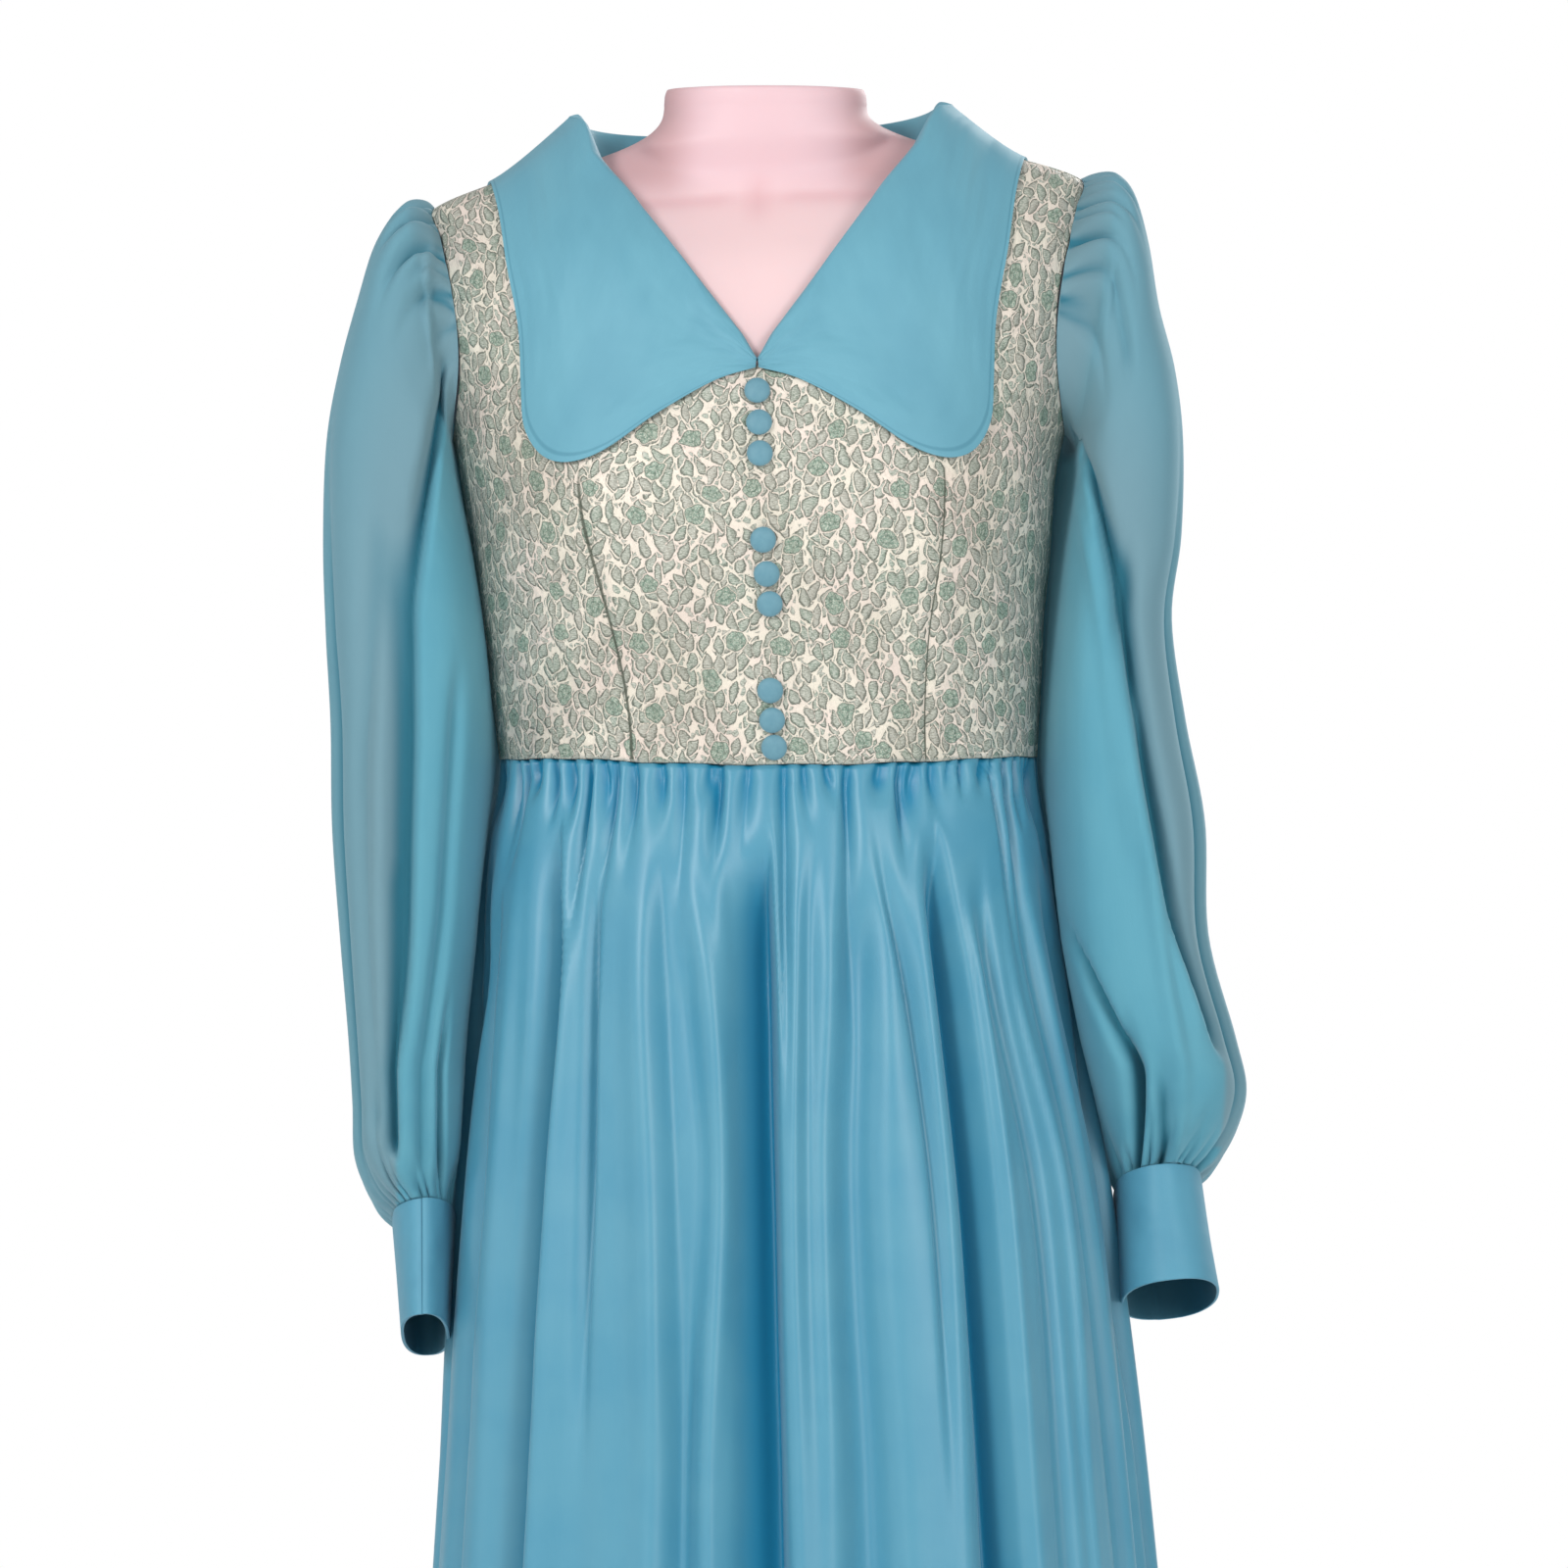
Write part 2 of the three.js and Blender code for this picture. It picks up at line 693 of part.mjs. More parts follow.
const LAST_SECTION = SLEEVES.left.length - 1;
const CAP_SPAN = 98; // degrees of the armhole that are gathered, each side of the shoulder tip
const CAP_ROWS = 4;
const CUFF_ROWS = 3.4;

function sleeveCut(name, turn, t) {
  const down = t / LAST_SECTION;
  const free = smooth((t - 2) / 5) * (1 - 0.75 * smooth((t - LAST_SECTION + 4) / 4));
  let cut = 0;
  for (const fold of SLEEVE_FOLDS[name]) {
    const off = angleBetween(turn, mix(fold.top, fold.low, down)) / fold.width;
    cut += fold.depth * Math.exp(-off * off) * free;
  }
  const inCap = smooth((1 - Math.abs(angleBetween(turn, 0)) / CAP_SPAN) * 3);
  const cap = inCap * smooth(t) * (1 - smooth((t - 1) / CAP_ROWS));
  cut += cap * 5 * (0.5 - 0.5 * Math.cos((angleBetween(turn, 0) / CAP_SPAN) * CAP_GATHERS * Math.PI));
  const wrist = smooth((t - LAST_SECTION + CUFF_ROWS) / CUFF_ROWS);
  const held = 1 - 0.55 * smooth(t - LAST_SECTION + 1);
  return cut + wrist * held * 6 * (0.5 - 0.5 * Math.cos(turn * CUFF_GATHERS * DEGREE));
}

function sleevePoint(name, turn, t) {
  const side = name === "left" ? 1 : -1;
  const row = sample(SLEEVES[name], "row", t);
  const down = t / LAST_SECTION;
  const wrist = smooth((t - LAST_SECTION + 5) / 5);
  const middleY = mix(ELBOW_Y * down, WRIST_FORWARD[name] + CUFF_SLANT, wrist);
  const at = ((turn % 360) + 360) % 360;
  const oval = section(side, row, middleY, at, sleeveCut(name, at, t), CUFF_DIP * wrist);
  const attached = smooth(t / 2);
  return clearOfBody(armholeLoop(side, at).lerp(oval, attached));
}

// Rows of vertices: place down the sleeve, and how many there are in the gathered cap and below it
const SLEEVE_ROWS = tableOf("t cap below", [
  [0, 28, 12],
  [1, 28, 12],
  [2, 28, 12],
  [3.2, 18, 12],
  [4.8, 14, 14],
  [6.5, 14, 14],
  [8.2, 14, 14],
  [10, 14, 14],
  [11.6, 14, 14],
  [13, 14, 14],
  [14, 22, 22],
  [15, 22, 22],
  [16, 22, 22],
  [LAST_SECTION, 22, 22],
]);

function sleeve(name) {
  const facing = name === "left" ? 1 : -1;
  const pointAt = (turn, t) => sleevePoint(name, turn, clamp01(t / LAST_SECTION) * LAST_SECTION);
  const sheet = new Sheet().rows(
    SLEEVE_ROWS.map(({ t, cap, below }) => {
      const span = cap > below ? CAP_SPAN : 90;
      const turns = [...spread(-span, span, cap).slice(0, -1), ...spread(span, 360 - span, below).slice(0, -1)];
      return turns.map((turn) => vertexOf(pointAt, turn, t, facing, 0.6, 0.03));
    }),
    true,
  );
  return wall(sheet, SLEEVE_WALL);
}

const CUFF_COLUMNS = 28;
function cuff(name) {
  const side = name === "left" ? 1 : -1;
  const last = CUFFS[name].length - 1;
  const pointAt = (turn, t) => {
    const down = clamp01(t / last);
    const middleY = mix(WRIST_FORWARD[name] + CUFF_SLANT, WRIST_FORWARD[name], down);
    const p = section(side, sample(CUFFS[name], "row", down * last), middleY, turn, 0, CUFF_DIP);
    p.z -= SEAM_GAP;
    return p;
  };
  const turns = spread(0, 360, CUFF_COLUMNS).slice(0, -1);
  const rows = [0, 1, 2].map((t) => turns.map((turn) => vertexOf(pointAt, turn, t, side, 0.6, 0.03)));
  return wall(new Sheet().rows(rows, true), CUFF_WALL);
}

// Collar

function edgePoint({ neck, edgeX, edgeH }) {
  return torsoPoint(1, neck < 1 ? frontAngle(edgeX, edgeH) : backAngle(edgeX, edgeH), edgeH);
}

// Places along the neckline where ribs start, closer together where the collar's edge is long
function ribPlaces() {
  return COLLAR.flatMap((row, i) => {
    if (!i) return [row.neck];
    const before = COLLAR[i - 1];
    const apart = edgePoint(before).distanceTo(edgePoint(row));
    return spread(before.neck, row.neck, Math.ceil(apart / RIB_SPACING)).slice(1);
  });
}

function necklineAt(place) {
  return place <= 1 ? frontNeckline(place) : backNeckline((place - 1) * 90);
}

function collarRoll(place) {
  const { v, shoulder, centreBack } = COLLAR_RISE;
  return place <= 1 ? mix(v, shoulder, smooth(place) * place) : mix(shoulder, centreBack, place - 1);
}

// One rib: up from the neckline as a stand, over the roll, and down the body to the edge
function collarRib(side, place, along) {
  const pointAt = (angle, h) => torsoPoint(side, angle, h);
  const neck = necklineAt(place);
  const [neckX] = ringPoint(sample(TORSO, "h", neck.h), neck.angle);
  const { p, n } = vertexOf(pointAt, neck.angle, neck.h, side);
  const inward = n.clone().cross(along).normalize().multiplyScalar(side);
  const upright = n.clone().lerp(UP, place > 1 ? 0.75 * smooth(place - 1) : 0).normalize();
  const rise = collarRoll(place);
  const top = COLLAR_CLEARANCE + rise;
  const stand = [
    [COLLAR_WALL + 0.9, -0.6],
    [COLLAR_WALL + 1.4, top * 0.55],
    [COLLAR_WALL - 0.4, top * 0.94],
    [-1.2, top],
  ].map(([across, up]) => ({ p: p.clone().addScaledVector(inward, across).addScaledVector(upright, up) }));
  const { edgeX, edgeH } = sample(COLLAR, "neck", place);
  const fall = [0.1, 0.3, 0.55, 0.8, 1].map((w) => {
    const [x, h] = [mix(neckX, edgeX, w), mix(neck.h, edgeH, w)];
    const surface = vertexOf(pointAt, place < 1 ? frontAngle(x, h) : backAngle(x, h), h, side);
    const roll = rise * (1 - w) ** 1.3;
    return { p: surface.p.addScaledVector(surface.n, COLLAR_CLEARANCE).addScaledVector(upright, roll) };
  });
  return [...stand, ...fall];
}

function collar(side) {
  const places = ribPlaces();
  const starts = places.map((place) => {
    const { angle, h } = necklineAt(place);
    return torsoPoint(side, angle, h);
  });
  const rows = places.map((place, i) => {
    const along = starts[Math.min(i + 1, starts.length - 1)].clone().sub(starts[Math.max(i - 1, 0)]);
    return collarRib(side, place, along);
  });
  const sheet = new Sheet().rows(rows);
  return wall(faceNormals(side > 0 ? turnedOver(sheet) : sheet), COLLAR_WALL);
}

// Buttons and zip

function button({ h, x }) {
  const dome = new THREE.LatheGeometry(BUTTON_PROFILE.map((p) => new THREE.Vector2(p.radius, p.height)), 10);
  const { p, n } = vertexOf((angle, at) => torsoPoint(1, angle, at), -90, h);
  const flat = new THREE.Vector3(0, n.y, n.z).normalize();
  const turn = new THREE.Quaternion().setFromUnitVectors(new THREE.Vector3(0, 1, 0), flat);
  const seat = p.addScaledVector(flat, 0.45);
  return dome.applyQuaternion(turn).translate(seat.x + x, seat.y, seat.z);
}

function zipPoint(h, out = 0) {
  const skirt = h < 0 ? skirtPoint(90, h) : torsoPoint(1, 90, h);
  return new THREE.Vector3(h < 0 ? 0 : leanShift(h), skirt.y + out, WAIST_Z + h);
}

function zipTeeth() {
  const top = SLIDER_H - SLIDER.height / 2 - 0.4;
  const heights = spread(ZIP_BOTTOM_H + 3, top, 15);
  const points = heights.flatMap((h) =>
    [[-1, 0], [1, 0], [1, -1], [-1, -1]].map(([x, out]) => {
      const p = zipPoint(h, out * TEETH_THICKNESS);
      p.x += (x * TEETH_WIDTH) / 2;
      return p;
    }),
  );
  const faces = [[0, 1, 2], [0, 2, 3]];
  const end = points.length - 4;
  faces.push([end + 2, end + 1, end], [end + 3, end + 2, end]);
  for (let k = 0; k < end; k += 4)
    for (let i = 0; i < 4; i++) {
      const j = (i + 1) % 4;
      faces.push([k + j, k + i, k + 4 + i], [k + j, k + 4 + i, k + 4 + j]);
    }
  return solidOf(points, faces);
}

// The slider and its tab are drawn at the origin, lying along Z and facing +Y, then set on the back
function onZip(geometry) {
  const [low, high] = [zipPoint(SLIDER_H - 8), zipPoint(SLIDER_H + 4)];
  const slope = Math.atan2(low.y - high.y, high.z - low.z);
  const at = zipPoint(SLIDER_H, 0.05);
  return geometry.rotateX(slope).translate(...at.toArray());
}

const EYE_Y = SLIDER.thickness + EAR_HEIGHT - 1.4;
const EYE_Z = 2;

function zipSlider() {
  const plate = new THREE.BoxGeometry(SLIDER.width, SLIDER.thickness, SLIDER.height);
  plate.translate(0, SLIDER.thickness / 2, 0);
  const pin = new THREE.CylinderGeometry(PIN_RADIUS, PIN_RADIUS, TAB.width + 1.6, 12);
  pin.rotateZ(Math.PI / 2).translate(0, EYE_Y, EYE_Z);
  let body = manifoldOf(plate).add(manifoldOf(pin));
  for (const end of [-1, 1]) {
    const ear = new THREE.BoxGeometry(EAR_THICKNESS, EAR_HEIGHT, 3.4);
    ear.translate(end * (TAB.width / 2 + 0.4 + EAR_THICKNESS / 2), SLIDER.thickness + EAR_HEIGHT / 2 - 0.2, EYE_Z);
    body = body.add(manifoldOf(ear));
  }
  return onZip(geometryOf(body));
}

// The pull tab's side view, extruded across its width: a rolled eye, and a flat tongue that hangs from it
function zipPull() {
  const outline = new THREE.Shape();
  const half = TAB.thickness / 2;
  const meet = Math.asin(half / TAB.eye);
  outline.absarc(0, 0, TAB.eye, -Math.PI / 2 + meet, 1.5 * Math.PI - meet, false);
  outline.lineTo(-half, -TAB.length);
  outline.lineTo(half, -TAB.length);
  const bore = new THREE.Path();
  bore.absarc(0, 0, TAB.bore, 0, 2 * Math.PI, true);
  outline.holes.push(bore);
  const tab = new THREE.ExtrudeGeometry(outline, { depth: TAB.width, bevelEnabled: false, curveSegments: 8 });
  tab.translate(0, 0, -TAB.width / 2);
  const upright = new THREE.Matrix4().makeBasis(new THREE.Vector3(0, 1, 0), UP, new THREE.Vector3(1, 0, 0));
  tab.applyMatrix4(upright).translate(0, EYE_Y, EYE_Z);
  return onZip(tab);
}

// Dress form and stand

const FORM_INSET = 3.9; // how far inside the bodice's outer face it lies, level and upright
const FORM_DROP = 2.8;
const softMax = (a, b, blend) => Math.max(a, b) + Math.max(blend - Math.abs(a - b), 0) ** 2 / (4 * blend);

// The form inside the bodice: the torso's own rings, taken in, with a neck that flares into the shoulders
function formPoint(angle, h) {
  const row = sample(TORSO, "h", Math.max(0, Math.min(h, NECK_POINT_H)));
  const flatness = mix(depthAt(row, angle) / row.halfWidth, 0.95, smooth((h - 296) / 34));
  const side = Math.cos(angle * DEGREE) < 0 ? -1 : 1;
  const across = Math.abs(rounded(Math.cos(angle * DEGREE)));
  const direction = Math.atan2(flatness * rounded(Math.sin(angle * DEGREE)), across) / DEGREE;
  const hips = ringReach(sample(FORM_HIPS, "h", Math.min(h, 0)), direction);
  const chest = torsoReach(direction, clamp01((h + FORM_DROP) / NECK_POINT_H) * NECK_POINT_H) - FORM_INSET;
  const gone = Math.max(0, h + FORM_DROP - NECK_POINT_H) * 3;
  const inside = mix(hips, chest, smooth(h / 70)) - gone;
  const neck = ringReach(sample(FORM_NECK, "h", h), direction);
  const r = h > FORM_NECK[0].h ? softMax(inside, neck, 8) : inside;
  return leaned(side * r * Math.cos(direction * DEGREE), r * Math.sin(direction * DEGREE), h);
}

const FORM_COLUMNS = 26;
const FORM_HEIGHTS = [
  -205, -203, -190, -160, -110, -55, -10, 40, 80, 115, 145, 175, 205, 232, 254, 271, 284, 294, 303, 311, 316,
  320, 324, 330, 341, 344,
];
function formTorso() {
  const turns = spread(0, 360, FORM_COLUMNS).slice(0, -1);
  const rings = FORM_HEIGHTS.map((h) => turns.map((angle) => ({ p: formPoint(angle, h) })));
  const sheet = new Sheet().rows(rings, true);
  for (const [ring, first] of [[rings[0], 0], [rings.at(-1), sheet.vertices.length - FORM_COLUMNS]]) {
    const middle = ring.reduce((sum, { p }) => sum.add(p), new THREE.Vector3()).divideScalar(FORM_COLUMNS);
    const centre = sheet.vertices.push({ p: middle }) - 1;
    for (let i = 0; i < FORM_COLUMNS; i++) {
      const [a, b] = [first + i, first + ((i + 1) % FORM_COLUMNS)];
      sheet.faces.push(first ? [centre, a, b] : [centre, b, a]);
    }
  }
  return solidOf(sheet.vertices.map(({ p }) => p), sheet.faces);
}

function standPole() {
  const bottom = BASE_THICKNESS + COLLET_HEIGHT + 0.3;
  const top = WAIST_Z + FORM_HIPS[0].h - 0.3;
  const pole = new THREE.CylinderGeometry(POLE_RADIUS, POLE_RADIUS, top - bottom, 20);
  return pole.rotateX(Math.PI / 2).translate(0, 0, (top + bottom) / 2);
}

function standBase() {
  const profile = [
    [0, 0],
    [BASE_RADIUS, 0],
    [BASE_RADIUS, BASE_RIM],
    [BASE_RADIUS - 4, BASE_RIM + 3],
    [COLLET_RADIUS, BASE_THICKNESS],
    [COLLET_RADIUS, BASE_THICKNESS + COLLET_HEIGHT - 3],
    [COLLET_RADIUS - 3, BASE_THICKNESS + COLLET_HEIGHT],
    [0, BASE_THICKNESS + COLLET_HEIGHT],
  ];
  const disc = new THREE.LatheGeometry(profile.map(([r, z]) => new THREE.Vector2(r, z)), 36);
  return disc.rotateX(Math.PI / 2);
}

const finish = (color, roughness, metalness = 0) =>
  new THREE.MeshStandardMaterial({ color, roughness, metalness });

const BROCADE = finish(0xb4b4a5, 0.5, 0.25);
const SATIN = finish(0x6fb2c6, 0.5);
const CHIFFON = finish(0x72a0ae, 0.65);
const SKIRT_CLOTH = finish(0x5c9eb4, 0.45);
const NYLON = finish(0x6aa9bb, 0.4);
const ZIP_METAL = finish(0xb9bdbf, 0.3, 1);
const FORM_SKIN = finish(0xf3dcdc, 0.45);
const STAND_METAL = finish(0xc9cbcc, 0.3, 0.9);

const dress = new THREE.Group();

function add(name, geometry, material) {
  const mesh = new THREE.Mesh(geometry, material);
  mesh.name = name;
  dress.add(mesh);
}

add("stand_base", standBase(), STAND_METAL);
add("stand_pole", standPole(), STAND_METAL);
add("form_torso", formTorso(), FORM_SKIN);
add("bodice_front", bodiceFront(), BROCADE);
add("skirt_front", skirtPanel(-180, 0), SKIRT_CLOTH);
add("skirt_back_left", skirtPanel(0, 90), SKIRT_CLOTH);
add("skirt_back_right", skirtPanel(90, 180), SKIRT_CLOTH);
for (const [name, side] of [["left", 1], ["right", -1]]) {
  add(`bodice_back_${name}`, bodiceBack(side), BROCADE);
  add(`collar_${name}`, collar(side), SATIN);
  add(`sleeve_${name}`, sleeve(name), CHIFFON);
  add(`cuff_${name}`, cuff(name), SATIN);
}
BUTTONS.forEach((sewn, i) => add(`button_${i + 1}`, button(sewn), SATIN));
add("zip_teeth", zipTeeth(), NYLON);
add("zip_slider", zipSlider(), ZIP_METAL);
add("zip_pull", zipPull(), ZIP_METAL);

export default dress;
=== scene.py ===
"""A prairie dress on a limbless dress form: turquoise skirt, collar and sleeves, and a brocade bodice.

Sizes are in millimetres up to the point where a mesh is made, and in metres from there.
Cloth is laid out on a flat grid and draped: each place on it is worked out from an angle round the
body and a height above the waist seam, then given the cloth's thickness.
An angle is -90 degrees at centre front, 0 at the side seam and 90 at centre back.
"""

import math
from contextlib import contextmanager

import bmesh
import bpy
import numpy as np
from mathutils import Euler, Matrix, Vector


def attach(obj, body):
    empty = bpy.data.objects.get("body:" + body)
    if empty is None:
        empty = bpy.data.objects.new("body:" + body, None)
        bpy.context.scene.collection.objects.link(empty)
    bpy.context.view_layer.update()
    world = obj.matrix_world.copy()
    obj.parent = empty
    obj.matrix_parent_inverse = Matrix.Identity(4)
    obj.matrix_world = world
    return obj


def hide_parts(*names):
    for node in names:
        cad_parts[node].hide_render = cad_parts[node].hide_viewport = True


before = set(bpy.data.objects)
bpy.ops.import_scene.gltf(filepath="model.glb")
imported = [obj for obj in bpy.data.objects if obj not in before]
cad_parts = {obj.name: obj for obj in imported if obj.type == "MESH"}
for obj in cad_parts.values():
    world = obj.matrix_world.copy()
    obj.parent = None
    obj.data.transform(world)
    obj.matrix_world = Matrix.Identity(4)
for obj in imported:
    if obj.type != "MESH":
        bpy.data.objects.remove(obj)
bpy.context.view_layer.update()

MM = 0.001
DRESS_BODY = "dress_and_form"

# Heights of the dress
WAIST_Z = 1075
HEM_H = -1045
UNDERARM_H = 165
SHOULDER_TIP_H = 290
NECK_POINT_H = 316
NECK_POINT_X = 89
V_BOTTOM_H = 200
BACK_NECK_H = 302

# Thicknesses and gaps
BODICE_CLOTH = 1.1
COLLAR_CLOTH = 1.3
SLEEVE_CLOTH = 0.5
CUFF_CLOTH = 1.6
SKIRT_CLOTH = 0.7
SEAM_GAP = 0.25
SLEEVE_CLEARANCE = 2.2
ZIP_HALF_GAP = 2.9
ZIP_BOTTOM_H = -70

# Shape of the torso
RING_POWER = 2.2
BUST_RISE, BUST_ANGLE, BUST_SPREAD, BUST_H, BUST_HEIGHT = 8, -58, 27, 128, 55
ARMHOLE_FRONT_ANGLE = 27
ARMHOLE_BACK_ANGLE = 23
LEAN_X = -5.5
LEAN_FULL_H = 200
SHOULDER_TILT = 0.045


def table(columns, rows):
    return dict(zip(columns.split(), np.array(rows, float).T))


TORSO = table("h half_width front back", [
    (0, 138, 98, 92),
    (62, 144, 110, 97),
    (110, 149, 117, 100),
    (150, 154, 117, 103),
    (190, 163, 110, 104),
    (228, 170, 98, 102),
    (255, 172, 84, 95),
    (276, 170, 64, 86),
    (290, 166, 46, 74),
    (302, 136, 32, 62),
    (316, 89, 14, 42),
])

SKIRT = table("h half_width front back centre_x", [
    (-1045, 240, 208, 212, 18),
    (-700, 211, 178, 182, 16),
    (-368, 182, 150, 154, 12),
    (-287, 175, 143, 148, 9.5),
    (-212, 167, 135, 141, 7),
    (-135, 157, 126, 131, 2.5),
    (-75, 149, 117, 120, 0),
    (-40, 144, 110, 110, 0),
    (-14, 139.4, 103, 99, 0),
    (0, 138, 98, 92, 0),
])

FORM_HIPS = table("h half_width front back", [
    (-205, 96, 60, 66),
    (-203, 122, 82, 90),
    (-190, 136, 94, 103),
    (-160, 138, 96, 106),
    (-110, 131, 92, 98),
    (-55, 125, 86, 84),
    (0, 132, 91, 85),
])

FORM_NECK = table("h half_width front back", [
    (262, 58, 34, 50),
    (300, 62, 42, 52),
    (312, 64, 44, 51),
    (317, 67, 45, 51),
    (321, 62, 45, 50.5),
    (328, 54, 45, 49.5),
    (336, 52.2, 45, 49),
    (341, 51.7, 45, 49),
    (344, 50.5, 44, 48),
])

# Long folds of the skirt's front. x is how far to the wearer's left a fold lies at four heights below
# the waist seam, as seen from the front. A positive depth is a valley and a negative one a ridge. The
# widths of its two slopes are in degrees round the body, and it starts and ends at the heights given.
SKIRT_FOLDS = table("x_25 x_112 x_212 x_357 depth slope_right slope_left starts ends", [
    (-137, -148, -158, -168, 14, 4, 2, -30, -1200),
    (-130, -140.5, -146, -154.5, 28, 4.6, 1.2, -60, -1200),
    (-124, -131, -138, -146, -3, 3, 3, -30, -1200),
    (-106.5, -107.5, -115, -123.5, 34, 4.6, 0.8, -5, -1200),
    (-100, -102, -109, -117, -3, 1, 2.2, -60, -1200),
    (-86, -90, -92, -95, 11, 1.6, 1.2, -30, -380),
    (-60, -61.5, -57.5, -53, -5, 3.6, 1.6, -10, -1200),
    (-52, -53, -48, -46, 7, 1.2, 3.4, -20, -1200),
    (-45.5, -29, -22, -30, -4, 3, 1.4, -30, -900),
    (-40, -43.5, -36.5, -47, 6, 2.6, 2.6, -60, -1200),
    (-20, -17, -15, -14, 5, 1.6, 2.6, -8, -700),
    (-1, 0.5, 2, 5, 44, 4.8, 0.7, -14, -1200),
    (10, 9, 8.5, 12, 8, 0.9, 0.9, -2, -230),
    (13.5, 13.5, 13.5, 16, -3, 0.8, 2, -5, -1200),
    (24, 21, 20, 24, 5, 1.6, 1.6, -5, -420),
    (33, 32, 31, 34, -3, 2.2, 2.2, -40, -1200),
    (50, 49, 46.5, 54, 15, 4.4, 3, -30, -1200),
    (52, 70.5, 84, 92, 9, 1.1, 2, -5, -420),
    (74.5, 80.5, 88, 97, -4, 2.4, 2.4, -10, -1200),
    (84, 98.5, 111, 122, 34, 4.2, 0.8, -5, -1200),
    (92, 106, 119, 130, -4, 0.9, 2.2, -40, -1200),
    (104, 116, 138, 150, 8, 3.4, 1.4, -30, -1200),
    (112, 125, 149, 162, -3, 1, 2.2, -70, -1200),
    (120, 138, 160, 177, 9, 3.8, 1.8, -40, -1200),
    (133, 150, 171, 187, 7, 3, 3, -30, -1200),
])
BACK_FOLDS = 11
GATHERS_ROUND_WAIST = 76
GATHER_LENGTHS = [24, 42, 68, 110, 170]
GATHER_SHARES = [0.24, 0.26, 0.24, 0.16, 0.1]

SECTIONS = "out_x out_h in_x in_h depth"
SLEEVES = {
    "left": table(SECTIONS, [
        (166, 299, 156, 165, 46),
        (171, 303, 157, 162, 52),
        (179, 301, 158, 158, 57),
        (188, 290, 158, 153, 61),
        (195, 265, 158, 146, 65),
        (200, 233, 157, 138, 69),
        (208, 200, 155, 126, 72),
        (212, 163, 152, 108, 75),
        (211, 115, 149, 84, 77),
        (206, 72, 146, 54, 78),
        (213, 20, 144, 12, 78),
        (223, -32, 145, -36, 78),
        (225, -90, 149, -92, 77),
        (239, -142, 158, -140, 75),
        (245, -170, 166, -172, 71),
        (240, -192, 171, -194, 64),
        (230, -209, 175, -210, 54),
        (221, -217, 179, -221, 43),
    ]),
    "right": table(SECTIONS, [
        (173, 285, 162, 165, 46),
        (178, 290, 162, 160, 52),
        (186, 287, 161, 155, 57),
        (195, 278, 160, 149, 61),
        (203, 262, 159, 142, 65),
        (210, 238, 157, 133, 69),
        (219, 204, 154, 120, 72),
        (226, 165, 150, 102, 75),
        (228, 116, 146, 78, 77),
        (227, 70, 143, 50, 78),
        (224, 20, 142, 12, 78),
        (223, -36, 145, -36, 78),
        (219, -92, 149, -92, 77),
        (215, -142, 154, -142, 73),
        (213, -178, 155, -176, 68),
        (212, -207, 156, -204, 61),
        (204, -227, 159, -222, 53),
        (192, -238, 162, -235, 43),
    ]),
}
LAST_SECTION = 17

# Folds of each sleeve's front, by how far from the middle of the dress they are seen at six heights
# above the waist seam, with the depth, the widths of the slopes on the outer and the inner side in
# degrees of turn, and the heights at which the fold starts and ends. A negative depth is a ridge.
FRONT_FOLDS = "x_240 x_160 x_80 x_0 x_n80 x_n160 depth outer inner starts ends"
SLEEVE_FRONT_FOLDS = {
    "left": table(FRONT_FOLDS, [
        (150, 158, 178, 189, 204, 232, 15, 9, 3, 176, -150),
        (146, 152, 168, 181, 201, 226, -4, 7, 7, 150, -140),
        (176, 192, 205, 214, 222, 232, 5, 7, 7, 262, 196),
        (160, 172, 186, 186, 196, 209, -5, 5, 5, 60, -225),
        (150, 150, 150, 146, 150, 187, 12, 4, 9, -70, -225),
        (150, 150, 158, 165, 170, 186, 10, 6, 4, -120, -225),
        (150, 150, 160, 178, 186, 200, 9, 5, 5, -140, -228),
    ]),
    "right": table(FRONT_FOLDS, [
        (155, 167, 180, 181, 183, 190, 14, 11, 3, 214, -215),
        (162, 176, 190, 193, 195, 200, -4, 9, 9, 290, -60),
        (150, 152, 156, 160, 165, 175, 6, 6, 8, 60, -225),
        (146, 150, 152, 152, 158, 166, 8, 4, 5, -110, -225),
        (180, 190, 200, 206, 204, 200, 5, 12, 9, 150, -200),
    ]),
}
SEEN_HEIGHTS = (240, 160, 80, 0, -80, -160)

# Folds of the sides and backs of the sleeves, by their turn round the section, 0 at the outer edge,
# 90 in front and 270 behind, at the top, the middle and the cuff, and the sections between which they lie
SLEEVE_BACK_FOLDS = table("top middle low depth outer inner starts ends", [
    (206, 214, 232, 11, 6, 12, 3, 16),
    (242, 246, 256, 8, 8, 5, 5, 16.5),
    (272, 278, 288, 15, 12, 5, 2, 16.5),
    (303, 306, 308, 8, 6, 8, 6, 16.5),
    (332, 330, 330, 13, 11, 6, 3, 16),
    (20, 14, 22, 10, 5, 11, 6, 16.5),
    (352, 360, 352, 7, 12, 5, 2, 11),
])

CUFFS = {
    "left": table(SECTIONS, [
        (221, -217.2, 179, -221.2, 43),
        (225, -247, 180.5, -251, 41.5),
        (229.5, -274, 182, -279, 40.5),
    ]),
    "right": table(SECTIONS, [
        (191.7, -238.2, 162, -235.2, 43),
        (189, -267, 163.5, -266, 43),
        (186.5, -295, 165, -294, 43),
    ]),
}
CUFF_DIP = 0.3
WRIST_FORWARD = {"left": -17, "right": -20}
CUFF_SLANT = 17
CUFF_LAP_TURN = {"left": 262, "right": 93}
ELBOW_Y = -6
SIDES = {"left": 1, "right": -1}

